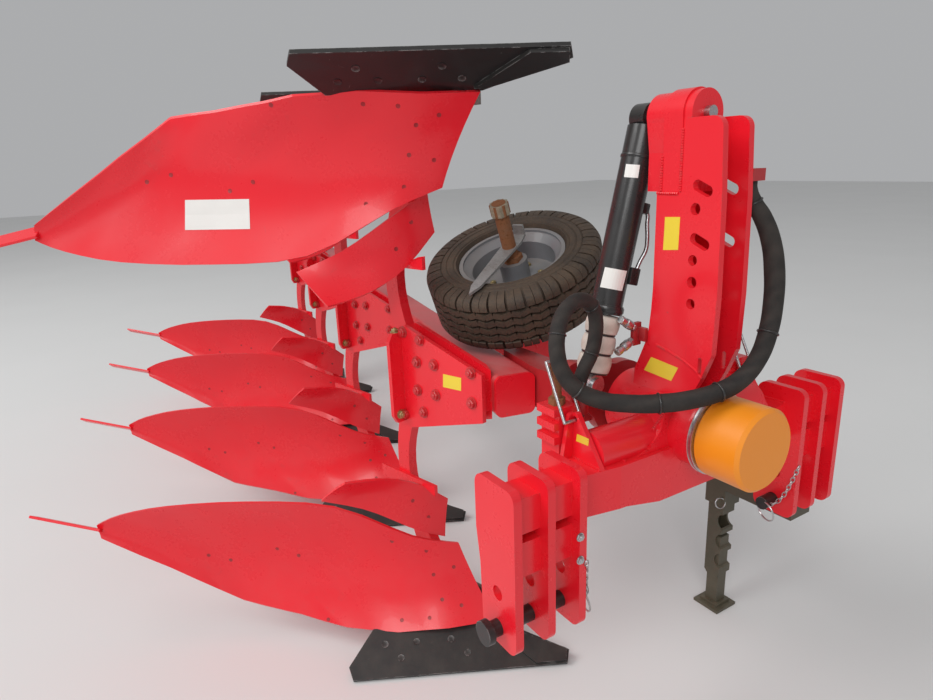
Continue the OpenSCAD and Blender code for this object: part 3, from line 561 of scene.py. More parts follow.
class Bench:
    """Blender's modelling tools, worked as by hand."""

    @staticmethod
    def clear() -> None:
        """Leaves edit mode and deselects everything."""
        if bpy.context.mode != "OBJECT":
            bpy.ops.object.mode_set(mode="OBJECT")
        bpy.ops.object.select_all(action="DESELECT")

    @staticmethod
    def take(piece: Piece) -> None:
        """Makes a piece the active one and the only one selected.

        Args:
            piece: The piece.
        """
        Bench.clear()
        piece.select_set(True)
        bpy.context.view_layer.objects.active = piece

    @staticmethod
    def edit(piece: Piece, whole: bool = False) -> None:
        """Opens a piece in edit mode.

        Args:
            piece: The piece.
            whole: Whether all of it is selected, rather than nothing.
        """
        Bench.take(piece)
        bpy.ops.object.mode_set(mode="EDIT")
        bpy.ops.mesh.select_all(action="SELECT" if whole else "DESELECT")

    @staticmethod
    def cylinder(radius: float, depth: float, sides: int = 24, at: Numbers = (0, 0, 0),
                 turn: Numbers = (0, 0, 0)) -> Piece:
        """Adds a cylinder along Z.

        Args:
            radius: Its radius.
            depth: Its height.
            sides: Its sides.
            at: Its middle.
            turn: Its turn about each axis.

        Returns:
            The object.
        """
        Bench.clear()
        bpy.ops.mesh.primitive_cylinder_add(vertices=sides, radius=radius, depth=depth,
                                            location=at, rotation=turn)
        return bpy.context.active_object

    @staticmethod
    def block(size: Numbers, at: Numbers = (0, 0, 0)) -> Piece:
        """Adds a block.

        Args:
            size: Its size along each axis.
            at: Its middle.

        Returns:
            The object.
        """
        Bench.clear()
        bpy.ops.mesh.primitive_cube_add(size=1.0, location=at)
        made = bpy.context.active_object
        made.scale = size
        bpy.ops.object.transform_apply(location=True, rotation=True, scale=True)
        return made

    @staticmethod
    def torus(radius: float, wire: float, around: int, along: int = 8,
              at: Numbers = (0, 0, 0)) -> Piece:
        """Adds a ring of wire round Z.

        Args:
            radius: From its axis to the middle of the wire.
            wire: Radius of the wire.
            around: Steps round the axis.
            along: Steps round the wire.
            at: Its middle.

        Returns:
            The object.
        """
        Bench.clear()
        bpy.ops.mesh.primitive_torus_add(major_segments=around, minor_segments=along,
                                         major_radius=radius, minor_radius=wire, location=at)
        return bpy.context.active_object

    @staticmethod
    def tube(points: Sequence[Vector], radius: float, steps: int, rounding: int,
             widths: Sequence[float] | None = None) -> Piece:
        """Adds a round tube along a smooth curve.

        Args:
            points: The curve's knots.
            radius: The tube's radius.
            steps: Steps from knot to knot.
            rounding: Steps of its round section.
            widths: How much wider it is at each knot, or None where it is even.

        Returns:
            The curve object.
        """
        Bench.clear()
        bpy.ops.curve.primitive_nurbs_path_add()
        made = bpy.context.active_object
        made.data.splines.clear()
        spline = made.data.splines.new("BEZIER")
        spline.bezier_points.add(len(points) - 1)
        for knot, point, width in zip(spline.bezier_points, points, widths or [1.0] * len(points)):
            knot.co = point
            knot.handle_left_type = knot.handle_right_type = "AUTO"
            knot.radius = width
        made.data.resolution_u = steps
        made.data.bevel_depth = radius
        made.data.bevel_resolution = rounding
        made.data.use_fill_caps = True
        return made

    @staticmethod
    def _pick(piece: Piece, kind: str, test: Callable[..., bool]) -> None:
        """Selects what passes a test, in a piece that is open in edit mode.

        Args:
            piece: The piece.
            kind: Blender's select mode, FACE or EDGE.
            test: Takes a face or an edge.
        """
        bpy.ops.mesh.select_mode(type=kind)
        bpy.ops.mesh.select_all(action="DESELECT")
        form = bmesh.from_edit_mesh(piece.data)
        for item in form.faces if kind == "FACE" else form.edges:
            item.select_set(bool(test(item)))
        bmesh.update_edit_mesh(piece.data)

    @staticmethod
    def pick_faces(piece: Piece, test: Callable[[Vector, Vector], bool]) -> None:
        """Selects the faces whose middle and normal pass a test."""
        Bench._pick(piece, "FACE", lambda face: test(face.calc_center_median(), face.normal))

    @staticmethod
    def pick_edges(piece: Piece, test: Callable[[Vector, Vector], bool]) -> None:
        """Selects the edges whose two ends pass a test."""
        Bench._pick(piece, "EDGE", lambda edge: test(edge.verts[0].co, edge.verts[1].co))

    @staticmethod
    def bevel(width: float, cuts: int = 1) -> None:
        """Bevels what is selected and leaves edit mode."""
        bpy.ops.mesh.bevel(offset=width, segments=cuts, affect="EDGES")
        Bench.clear()

    @staticmethod
    def round_off(piece: Piece, width: float, cuts: int = 1) -> None:
        """Bevels every edge of a piece."""
        Bench.edit(piece, whole=True)
        Bench.bevel(width, cuts)

    @staticmethod
    def stretch(piece: Piece, scale: Numbers) -> None:
        """Scales a piece's mesh about its middle.

        Args:
            piece: The piece.
            scale: The scale along each axis.
        """
        Bench.edit(piece, whole=True)
        bpy.ops.transform.resize(value=scale)
        Bench.clear()

    @staticmethod
    def settle(piece: Piece) -> None:
        """Moves a piece's place into its mesh."""
        Bench.take(piece)
        bpy.ops.object.transform_apply(location=True, rotation=True, scale=True)

    @staticmethod
    def join(pieces: Sequence[Piece]) -> Piece:
        """Joins pieces into the first.

        Args:
            pieces: The pieces.

        Returns:
            The joined piece.
        """
        Bench.clear()
        for piece in pieces:
            piece.select_set(True)
        bpy.context.view_layer.objects.active = pieces[0]
        if len(pieces) > 1:
            bpy.ops.object.join()
        return pieces[0]

    @staticmethod
    def copy(source: Piece, name: str) -> Piece:
        """A merged copy of a CAD node, to be worked on and to stand for it.

        Args:
            source: The node.
            name: The copy's name.

        Returns:
            The copy.
        """
        made = bpy.data.objects.new(name, source.data.copy())
        bpy.context.scene.collection.objects.link(made)
        Bench.edit(made, whole=True)
        bpy.ops.mesh.remove_doubles(threshold=MERGE)
        Bench.clear()
        return made

    @staticmethod
    def smooth(piece: Piece, degrees: float) -> None:
        """Shades a piece smooth up to an angle."""
        Bench.take(piece)
        bpy.ops.object.shade_smooth_by_angle(angle=math.radians(degrees))

    @staticmethod
    def lathe(profile: Sequence[Pair], steps: int, closed: bool = True,
              angle: float = math.tau) -> Piece:
        """Spins a profile of radius and height about Z.

        Args:
            profile: The profile's points.
            steps: Steps of the turn.
            closed: Whether the last point joins the first.
            angle: The turn, in radians; the ends of a part of a turn are filled.

        Returns:
            The object.
        """
        Bench.clear()
        bpy.ops.mesh.primitive_plane_add(size=0.01)
        made = bpy.context.active_object
        bpy.ops.object.mode_set(mode="EDIT")
        bpy.ops.mesh.select_mode(type="VERT")
        bpy.ops.mesh.select_all(action="SELECT")
        bpy.ops.mesh.merge(type="CENTER")
        bpy.ops.transform.translate(value=(profile[0][0], 0, profile[0][1]))
        for (r0, h0), (r1, h1) in zip(profile, profile[1:]):
            bpy.ops.mesh.extrude_region_move(
                TRANSFORM_OT_translate={"value": (r1 - r0, 0, h1 - h0)})
        if closed:
            form = bmesh.from_edit_mesh(made.data)
            form.verts.ensure_lookup_table()
            for vertex in form.verts:
                vertex.select_set(len(vertex.link_edges) == 1)
            bmesh.update_edit_mesh(made.data)
            bpy.ops.mesh.edge_face_add()
        bpy.ops.mesh.select_all(action="SELECT")
        bpy.ops.mesh.spin(steps=steps, angle=angle, center=(0, 0, 0), axis=(0, 0, 1))
        bpy.ops.mesh.select_all(action="SELECT")
        bpy.ops.mesh.remove_doubles(threshold=MERGE)
        if angle < math.tau:
            bpy.ops.mesh.fill_holes(sides=0)
        bpy.ops.mesh.normals_make_consistent(inside=False)
        bpy.ops.object.mode_set(mode="OBJECT")
        return made

    @staticmethod
    def stamp(master: Piece, places: Iterable[Matrix], name: str) -> Piece:
        """Copies a modelled piece to many places and joins the copies.

        Args:
            master: The modelled piece, which is removed.
            places: Where the copies go.
            name: Name of the joined piece.

        Returns:
            The joined piece.
        """
        Bench.settle(master)
        copies = []
        for place in places:
            copy = master.copy()
            copy.data = master.data.copy()
            copy.data.transform(place)
            bpy.context.collection.objects.link(copy)
            copies.append(copy)
        bpy.data.objects.remove(master)
        made = Bench.join(copies)
        made.name = name
        return made


def facing(point: Vector, normal: Vector, spin: float = 0.0) -> Matrix:
    """A place whose Z runs along a normal.

    Args:
        point: The origin.
        normal: The Z direction.
        spin: Turn about the normal, in radians.

    Returns:
        The matrix.
    """
    turn = Vector((0, 0, 1)).rotation_difference(normal.normalized()).to_matrix().to_4x4()
    return Matrix.Translation(point) @ turn @ Matrix.Rotation(spin, 4, "Z")


def tip(i: int) -> Matrix:
    """The frame of body i at its share's tip."""
    return Matrix.Translation(HITCH + FIRST_TIP + i * BODY_STEP) @ Matrix.Rotation(TRAVEL, 4, "Z")


def upper(point: Vector) -> Vector:
    """The mirror point on the other row of bodies."""
    return Vector((point.x, point.y, 2 * AXIS_Z - point.z))


def both_rows(point: Vector, normal: Vector) -> list[Matrix]:
    """A place with Z along a normal, and its mirror place on the other row of bodies."""
    return [facing(point, normal), facing(upper(point), Vector((normal.x, normal.y, -normal.z)))]


def hitch(x: float, y: float, z: float) -> Vector:
    """A point given from the hitch plates' front edge and middle plane, in metres."""
    return HITCH + Vector((x, y, z))


# Camera, light and floor

@dataclass(frozen=True)
class PhotoCamera:
    """The camera that took the photograph."""

    place: Triple = (0.969, -1.235, 1.535)
    yaw: float = 148.57
    pitch: float = 16.01
    roll: float = 2.2026
    focal: float = 660.0
    sensor: float = 36.0
    clip: float = 0.02

    def axes(self) -> tuple[Vector, Vector, Vector]:
        """The camera's directions.

        Returns:
            Right, down and forward.
        """
        yaw, pitch, roll = (math.radians(a) for a in (self.yaw, self.pitch, self.roll))
        ahead = Vector((math.cos(yaw) * math.cos(pitch), math.sin(yaw) * math.cos(pitch),
                        -math.sin(pitch)))
        right = Vector((math.sin(yaw), -math.cos(yaw), 0.0))
        down = ahead.cross(right)
        return (right * math.cos(roll) + down * math.sin(roll),
                down * math.cos(roll) - right * math.sin(roll), ahead)

    def eye(self) -> Vector:
        """The camera's place."""
        return HITCH + Vector(self.place)

    def ray(self, px: float, py: float) -> Vector:
        """The direction through a pixel of the photograph's frame.

        Args:
            px: Pixel column.
            py: Pixel row.

        Returns:
            The direction.
        """
        right, down, ahead = self.axes()
        return (ahead * self.focal + right * (px - PHOTO_W / 2)
                + down * (py - PHOTO_H / 2)).normalized()

    def hit(self, node: Piece, px: float, py: float) -> Seen | None:
        """The first point of a node behind a pixel.

        Args:
            node: The node's object.
            px: Pixel column.
            py: Pixel row.

        Returns:
            Point and normal, or None where the pixel misses.
        """
        found, point, normal, _ = node.ray_cast(self.eye(), self.ray(px, py))
        return (point.copy(), normal.copy()) if found else None

    def hits(self, node: Piece,
             pixels: Iterable[Pair]) -> list[Seen]:
        """The first points of a node behind several pixels.

        Args:
            node: The node's object.
            pixels: Column and row of each pixel.

        Returns:
            Point and normal of each pixel that doesn't miss.
        """
        made = []
        for px, py in pixels:
            seen = self.hit(node, px, py)
            if seen is None:
                log.info("%s: pixel %.0f,%.0f misses", node.name, px, py)
            else:
                made.append(seen)
        return made

    def build(self) -> None:
        """Makes the camera."""
        right, down, ahead = self.axes()
        bpy.ops.object.camera_add()
        camera = bpy.context.active_object
        camera.name = "camera"
        turn = Matrix((right, -down, -ahead)).transposed().to_4x4()
        camera.matrix_world = Matrix.Translation(self.eye()) @ turn
        camera.data.sensor_width = self.sensor
        camera.data.lens = self.focal / PHOTO_W * self.sensor
        camera.data.clip_start = self.clip
        bpy.context.scene.camera = camera


@dataclass(frozen=True)
class Studio:
    """Pale floor and soft light."""

    floor: Triple = (0.76, 0.76, 0.75)
    floor_size: float = 60.0
    floor_rough: float = 0.85
    mottle: float = 0.95
    lamps: tuple[tuple[str, Triple, float], ...] = (
        ("key", (-1.5, -9.5, 10.5), 900.0), ("fill", (10.0, -9.0, 9.0), 820.0))
    lamp_size: float = 7.0
    aim: Triple = (1.0, 0.2, 0.8)
    sky: tuple[float, float, float, float] = (0.93, 0.94, 0.96, 1.0)
    sky_power: float = 0.44

    def build(self) -> None:
        """Makes the floor, lamps and world."""
        Bench.clear()
        bpy.ops.mesh.primitive_plane_add(size=self.floor_size)
        ground = bpy.context.active_object
        ground.name = "floor"
        g = Graph("floor")
        base = g.colour(self.floor, tuple(self.mottle * c for c in self.floor), g.noise(0.8, 2.0))
        ground.data.materials.append(g.finish(base, self.floor_rough))
        for name, at, power in self.lamps:
            self._lamp(name, at, power)
        world = bpy.data.worlds.new("studio")
        bpy.context.scene.world = world
        world.use_nodes = True
        light = world.node_tree.nodes["Background"].inputs
        light["Color"].default_value = self.sky
        light["Strength"].default_value = self.sky_power

    def _lamp(self, name: str, at: Numbers, power: float) -> None:
        """Adds a square lamp that looks at the plough's headstock.

        Args:
            name: Its name.
            at: Its place.
            power: Its power in watts.
        """
        bpy.ops.object.light_add(type="AREA", location=at)
        lamp = bpy.context.active_object
        lamp.name = name
        lamp.data.size = self.lamp_size
        lamp.data.energy = power
        aim = Vector(self.aim) - Vector(at)
        lamp.rotation_euler = aim.to_track_quat("-Z", "Y").to_euler()


# Sub-assemblies

@dataclass
class Bolts:
    """Hexagon bolts and countersunk heads, modelled once and copied, in parts of their radius."""

    finisher: Finisher
    washer: float = 1.25
    washer_high: float = 0.2
    head_high: float = 0.62
    head_edge: float = 0.12
    stub: float = 0.5
    stub_high: float = 0.3
    stub_edge: float = 0.1
    disc_high: float = 0.16
    disc_middle: float = 0.05
    disc_rim: float = 0.22
    dish: float = 0.06
    degrees: float = 30.0

    def hexagon(self, size: float) -> Piece:
        """A hexagon head on its washer, with the bolt's end.

        Args:
            size: Radius over the head's corners.

        Returns:
            The head, standing on Z = 0.
        """
        washer = Bench.cylinder(size * self.washer, size * self.washer_high, 20,
                                (0, 0, size * self.washer_high / 2))
        head = Bench.cylinder(size, size * self.head_high, 6,
                              (0, 0, size * (self.washer_high + self.head_high / 2)))
        Bench.edit(head)
        top = size * self.head_high / 2 - NEAR
        Bench.pick_edges(head, lambda a, b: a.z > top and b.z > top)
        Bench.bevel(size * self.head_edge)
        stub = Bench.cylinder(size * self.stub, size * self.stub_high, 12,
                              (0, 0, size * (self.stub_high + self.head_high)))
        Bench.edit(stub)
        Bench.pick_edges(stub, lambda a, b: a.z > 0 and b.z > 0)
        Bench.bevel(size * self.stub_edge)
        return Bench.join([head, washer, stub])

    def countersunk(self, size: float) -> Piece:
        """A flat round head with a worn dish.

        Args:
            size: Its radius.

        Returns:
            The head, standing on Z = 0.
        """
        head = Bench.cylinder(size, size * self.disc_high, 24, (0, 0, size * self.disc_middle))
        Bench.edit(head)
        Bench.pick_faces(head, lambda c, n: n.z > 0.9)
        bpy.ops.mesh.inset(thickness=size * self.disc_rim)
        bpy.ops.transform.translate(value=(0, 0, -size * self.dish))
        Bench.clear()
        return head

    def fix(self, master: Piece, places: list[Matrix], name: str, body: str,
            slot: Slot, look: Finish | None = None) -> None:
        """Copies a bolt to its places and hangs the joined piece on a body."""
        made = Bench.stamp(master, places, name)
        self.finisher.hang(made, name, body, slot, look, self.degrees)


@dataclass
class RolledPlates:
    """The mouldboards, trashboards and tail strips, shaped on from their plain solids."""

    frame: Frame
    finisher: Finisher
    # The mouldboard's sections in millimetres: lower and upper point from the share's tip, and sag
    sections: tuple[tuple[int, ...], ...] = (
        (222, 85, 96, 360, 105, 336, 18), (300, 215, 98, 432, 238, 390, 40),
        (415, 398, 98, 600, 410, 505, 68), (632, 592, 198, 810, 590, 522, 60),
        (872, 757, 298, 1010, 765, 508, 40), (1076, 872, 364, 1140, 868, 474, 18),
        (1190, 925, 402, 1203, 922, 440, 4))
    # How far each section's lower point moves, forward, to the left and up
    moves: tuple[Triple, ...] = (
        (0, 0, 0), (-8, 0, 0), (-90, 13, -8), (-83, 92, -90), (-40, 153, -173), (16, 107, -99),
        (0, 0, 0))
    side_sag: float = 0.35
    fine: int = 16
    degrees: float = 24.0
    strip_at: Triple = (-1.206, -0.914, 0.418)
    strip_turn: float = 219.0
    strip_rise: float = -11.0
    strip_lean: float = -55.0
    bar: Triple = (0.240, 0.009, 0.050)
    bar_middle: float = 0.108
    bar_edge: float = 0.0015
    # Where a stub ends along its strip, and half its height
    stub_ends: Pair = (0.006, -0.016)
    stub_half: float = 0.010
    # The middle of an upright strip of the solids, and how near to it all its faces lie
    solid_middle: float = 0.075
    solid_reach: float = 0.35

    def build(self) -> dict[str, Piece]:
        """Makes the plates.

        Returns:
            Each piece by the name of the node that it stands for.
        """
        made = {}
        for node in self.frame["nodes"]:
            if node.startswith(("mouldboards", "trashboards")):
                made[node] = Bench.copy(self.frame["nodes"][node], node + "_rolled")
        for i in range(FURROWS):
            self._lower_edge(made[f"mouldboards_{i + 1}"], i)
        for node, plates in made.items():
            self._stand_for(plates, node, self.degrees)
        self._stand_for(self._strips(), "tail_strips", 0.0)
        bpy.context.view_layer.update()
        log.info("plates: %d nodes of rolled plates and the tail strips", len(made))
        return made

    def _surface(self) -> tuple[KDTree, list[Vector]]:
        """Samples of the plain mouldboard.

        Returns:
            The samples, and how far each of them moves.
        """
        points, shifts = [], []
        for k in range(len(self.sections) - 1):
            for step in range(self.fine):
                u = step / self.fine
                a = [p + (q - p) * u for p, q in zip(self.sections[k], self.sections[k + 1])]
                shift = Vector(self.moves[k]).lerp(Vector(self.moves[k + 1]), u) / 1000
                for j in range(self.fine + 1):
                    v = j / self.fine
                    sag = a[6] * 4 * v * (1 - v)
                    low, high = Vector((-a[0], -a[1], a[2])), Vector((-a[3], -a[4], a[5]))
                    bulge = Vector((-sag, self.side_sag * sag, 0))
                    points.append((low.lerp(high, v) + bulge) / 1000)
                    shifts.append(shift * (1 - v))
        tree = KDTree(len(points))
        for index, point in enumerate(points):
            tree.insert(point, index)
        tree.balance()
        return tree, shifts

    def _lower_edge(self, boards: Piece, i: int) -> None:
        """Carries the share-side edge of both boards of a body down and back to its corner.

        Args:
            boards: The body's boards.
            i: The body's number, from 0.
        """
        tree, shifts = self._surface()
        back, turn = tip(i).inverted(), tip(i).to_3x3()
        for vertex in boards.data.vertices:
            raised = vertex.co.z > AXIS_Z
            _, index, _ = tree.find(back @ (upper(vertex.co) if raised else vertex.co))
            shift = turn @ shifts[index]
            vertex.co += Vector((shift.x, shift.y, -shift.z if raised else shift.z))
        boards.data.update()

    def _strips(self) -> Piece:
        """The strips' stubs behind the boards' tails, and the flat bars that lean on from them.

        Returns:
            The joined piece.
        """
        stubs = Bench.copy(self.frame["nodes"]["tail_strips"], "tail_bars")
        flip = Matrix.Scale(-1, 4, (0, 0, 1))
        mirror = Matrix.Translation((0, 0, 2 * AXIS_Z)) @ flip
        lean = Matrix.Rotation(math.radians(self.strip_lean), 4, "X")
        places = []
        for i in range(FURROWS):
            row = (tip(i) @ Matrix.Translation(self.strip_at)
                   @ Matrix.Rotation(math.radians(self.strip_turn), 4, "Z")
                   @ Matrix.Rotation(math.radians(self.strip_rise), 4, "Y"))
            places += [row @ lean, mirror @ row @ lean @ flip]
            self._cut(stubs, row)
            self._cut(stubs, mirror @ row)
        bar = Bench.block(self.bar, (self.bar_middle, 0, 0))
        Bench.round_off(bar, self.bar_edge)
        return Bench.join([stubs, Bench.stamp(bar, places, "bars")])

    def _cut(self, strips: Piece, place: Matrix) -> None:
        """Cuts one of the upright strips down to its stub.

        Args:
            strips: All the strips.
            place: The frame of the one that is cut.
        """
        middle = place @ Vector((self.solid_middle, 0, 0))
        cuts = [(end, 0, 0) for end in self.stub_ends]
        cuts += [(0, 0, self.stub_half), (0, 0, -self.stub_half)]
        for cut in map(Vector, cuts):
            Bench.edit(strips)
            Bench.pick_faces(strips, lambda c, n: (c - middle).length < self.solid_reach)
            bpy.ops.mesh.bisect(plane_co=place @ cut, plane_no=place.to_3x3() @ cut.normalized(),
                                use_fill=True, clear_outer=True)
            Bench.clear()

    def _stand_for(self, piece: Piece, node: str, degrees: float) -> None:
        """Puts a worked copy in its node's place, in the red paint and on the swinging frame."""
        self.finisher.hang(piece, piece.name, "swing", Slot.RED, degrees=degrees)
        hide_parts(node)


@dataclass
class PloughBodies:
    """Bolts on the mouldboards, trashboards, shares and brackets, and the beam's dusty paint."""

    frame: Frame
    camera: PhotoCamera
    finisher: Finisher
    bolts: Bolts
    board_pixels: Outline = (
        (147, 182), (171, 175), (230, 191), (253, 182), (271, 105), (363, 104), (398, 106),
        (416, 125), (439, 115), (409, 155), (434, 160), (404, 187), (366, 204))
    bracket_pixels: Outline = (
        (403, 332), (420, 340), (417, 362), (434, 365), (471, 373), (418, 390), (436, 395),
        (472, 403), (405, 414), (424, 412))
    board_bolt: float = 0.0060
    bracket_bolt: float = 0.0145
    flange_bolt: float = 0.0125
    share_bolt: float = 0.0105
    flange_pixels: Outline = ((395, 332), (401, 414))
    trash_pixels: Outline = ((411, 222), (396, 249))
    # The plane of a share from its tip, and its bolts along and across that plane
    share_turn: float = 180 + 48.4
    share_lean: float = -33.0
    share_edge: float = -0.150
    share_face: float = 0.013
    share_bolts: Outline = (
        (0.26, 0.050), (0.36, 0.050), (0.47, 0.050), (0.57, 0.050), (0.31, 0.095), (0.52, 0.095))

    def _repeat(self, node: str, pixels: Sequence[Pair], rows: int) -> list[Matrix]:
        """Places seen on the first body, repeated on every body.

        Args:
            node: The node that carries them on the first body.
            pixels: Where the photograph shows them.
            rows: How many rows of bodies they come on, 1 or 2.

        Returns:
            One matrix for each bolt.
        """
        places = []
        back = tip(0).inverted()
        for at, out in self.camera.hits(self.frame["nodes"][node], pixels):
            point, normal = back @ at, back.to_3x3() @ out
            for i in range(FURROWS):
                places += both_rows(tip(i) @ point, tip(i).to_3x3() @ normal)[:rows]
        return places

    def _share_places(self) -> list[Matrix]:
        """Places along the shares of both rows.

        Returns:
            One matrix for each bolt.
        """
        places = []
        for i in range(FURROWS):
            plane = (tip(i) @ Matrix.Rotation(math.radians(self.share_turn), 4, "Z")
                     @ Matrix.Rotation(math.radians(self.share_lean), 4, "X")
                     @ Matrix.Translation((0, self.share_edge, 0)))
            for u, v in self.share_bolts:
                places += both_rows(plane @ Vector((u, v, self.share_face)),
                                    plane.to_3x3() @ Vector((0, 0, 1)))
        return places

    def build(self) -> None:
        """Makes the bolts of the bodies and puts the beam in its dusty paint."""
        sunk, hexagon = self.bolts.countersunk, self.bolts.hexagon
        boards = (self._repeat("mouldboards_1", self.board_pixels, 2)
                  + self._repeat("trashboards", self.trash_pixels, 2))
        for name, head, size, places, slot, look in (
                ("board_bolts", sunk, self.board_bolt, boards, Slot.DARK_RED, BOLT_DARK),
                ("bracket_bolts", hexagon, self.bracket_bolt,
                 self._repeat("brackets", self.bracket_pixels, 1), Slot.RED, BOLT_RED),
                ("flange_bolts", hexagon, self.flange_bolt,
                 self._repeat("brackets", self.flange_pixels, 1), Slot.BRIGHT, BOLT_ZINC),
                ("share_bolts", sunk, self.share_bolt, self._share_places(), Slot.SHARE, None)):
            self.bolts.fix(head(size), places, name, "swing", slot, look)
        self.finisher.dress(self.frame["nodes"]["main_beam"], DUSTY_RED)
        log.info("bodies: bolts on boards, shares and brackets")


@dataclass
class HoseBundle:
    """The hoses in one worn textile sleeve, clipped to the tower and behind the crossbeam."""

    finisher: Finisher
    radius: float = 0.0185
    # The knots of its route in millimetres, from the hitch plates' front edge and middle plane
    route: tuple[Triple, ...] = (
        (40, 71, 1470), (40, 71, 1452), (48, 78, 1424), (60, 96, 1392), (72, 116, 1340),
        (80, 128, 1270), (88, 122, 1200), (96, 100, 1135), (100, 64, 1080), (98, 12, 1042),
        (88, -50, 1023), (64, -112, 1012), (28, -170, 1006), (-14, -224, 1006), (-46, -272, 1015),
        (-74, -314, 1040), (-94, -339, 1078), (-106, -346, 1120), (-116, -338, 1162),
        (-126, -316, 1198), (-134, -282, 1220), (-141, -244, 1222), (-147, -212, 1204),
        (-150, -195, 1170), (-151, -194, 1128), (-151, -206, 1086), (-150, -230, 1050),
        (-150, -243, 1018), (-150, -243, 990))
    # How much wider than usual it is at some knots, with even steps between them
    swell: tuple[tuple[int, float], ...] = (
        (0, 0.85), (2, 1.0), (5, 1.22), (8, 1.12), (12, 1.16), (16, 1.0), (20, 0.95), (28, 0.9))
    # The curve's length to that of straight lines from knot to knot
    curved: float = 1.004
    tie_knots: tuple[int, ...] = (2, 7, 10, 12, 15, 18, 22, 25)
    tie_wire: float = 0.0022
    tie_fit: float = 1.03
    tie_degrees: float = 60.0

    def _swell_at(self, k: int) -> float:
        """How much wider than usual the sleeve is at a knot.

        Args:
            k: The knot's number.

        Returns:
            The factor.
        """
        for (k0, w0), (k1, w1) in zip(self.swell, self.swell[1:]):
            if k <= k1:
                return w0 + (w1 - w0) * (k - k0) / (k1 - k0)
        return self.swell[-1][1]

    def build(self) -> None:
        points = [hitch(x / 1000, y / 1000, z / 1000) for x, y, z in self.route]
        widths = [self._swell_at(k) for k in range(len(points))]
        line = Bench.tube(points, self.radius, steps=6, rounding=5, widths=widths)
        self.finisher.hang(line, "hose_sleeve", "headstock", Slot.HOSE)
        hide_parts("hose_bundle")
        2 * self.radius
        bands = []
        for k in self.tie_knots:
            ahead = (points[k + 1] - points[k - 1]).normalized()
            bands.append(facing(points[k], ahead) @ Matrix.Scale(widths[k] * self.tie_fit, 4))
        ties = Bench.stamp(Bench.torus(self.radius, self.tie_wire, 28), bands, "hose_ties")
        self.finisher.hang(ties, "hose_ties", "headstock", Slot.BLACK, degrees=self.tie_degrees)


@dataclass
class Labels:
    """Blank labels, each laid on its node where the photograph shows one."""

    frame: Frame
    camera: PhotoCamera
    finisher: Finisher
    steps: int = 8
    lift: float = 0.0009
    thick: float = 0.0006
    # Each label's name, node, corners in the photograph, body, slot and finish
    rows: tuple[tuple, ...] = (
        ("label_board", "mouldboards_1", ((185, 230), (250, 229), (249, 199), (185, 200)),
         "swing", Slot.WRAP, WHITE_LABEL),
        ("label_barrel_upper", "cylinder_barrel", ((624, 177), (638, 178), (640, 165), (626, 164)),
         "barrel", Slot.WRAP, WHITE_LABEL),
        ("label_barrel_lower", "cylinder_barrel", ((600, 287), (622, 291), (627, 271), (605, 267)),
         "barrel", Slot.WRAP, WHITE_LABEL),
        ("label_tower", "tower", ((663, 250), (678, 250), (680, 217), (665, 217)),
         "headstock", Slot.CAP, YELLOW_LABEL),
        ("label_tower_foot", "tower", ((644, 370), (671, 381), (678, 368), (651, 357)),
         "headstock", Slot.CAP, YELLOW_LABEL),
        ("label_bracket", "brackets", ((443, 387), (461, 391), (461, 378), (443, 374)),
         "swing", Slot.CAP, YELLOW_LABEL),
        ("label_gusset", "gussets", ((576, 441), (588, 446), (589, 439), (577, 434)),
         "headstock", Slot.CAP, YELLOW_LABEL))

    def _sheet(self, node: str, corners: Sequence[Pair]) -> Piece | None:
        """A thin sheet that lies on a node.

        Args:
            node: The node it sticks to.
            corners: Its four corners in the photograph, in order.

        Returns:
            The sheet, or None where a point of it would be off the node.
        """
        Bench.clear()
        bpy.ops.mesh.primitive_grid_add(x_subdivisions=self.steps, y_subdivisions=self.steps,
                                        size=2.0)
        sheet = bpy.context.active_object
        a, b, c, d = (Vector(corner) for corner in corners)
        for vertex in sheet.data.vertices:
            u, v = (vertex.co.x + 1) / 2, (vertex.co.y + 1) / 2
            pixel = a.lerp(b, u).lerp(d.lerp(c, u), v)
            seen = self.camera.hit(self.frame["nodes"][node], pixel.x, pixel.y)
            if seen is None:
                bpy.data.objects.remove(sheet)
                return None
            vertex.co = seen[0] - self.camera.ray(pixel.x, pixel.y) * self.lift
        Bench.edit(sheet, whole=True)
        bpy.ops.mesh.normals_make_consistent(inside=False)
        bpy.ops.object.mode_set(mode="OBJECT")
        toward = self.camera.ray((a.x + c.x) / 2, (a.y + c.y) / 2)
        if sheet.data.polygons[0].normal.dot(toward) > 0:
            Bench.edit(sheet, whole=True)
            bpy.ops.mesh.flip_normals()
        Bench.take(sheet)
        solid = sheet.modifiers.new("thickness", "SOLIDIFY")
        solid.thickness = self.thick
        bpy.ops.object.modifier_apply(modifier=solid.name)
        return sheet

    def build(self) -> None:
        """Lays every label."""
        for name, node, corners, body, slot, finish in self.rows:
            sheet = self._sheet(node, corners)
            if sheet is None:
                log.info("%s: a point is off the node", name)
            else:
                self.finisher.hang(sheet, name, body, slot, finish)
        log.info("labels: laid blank")


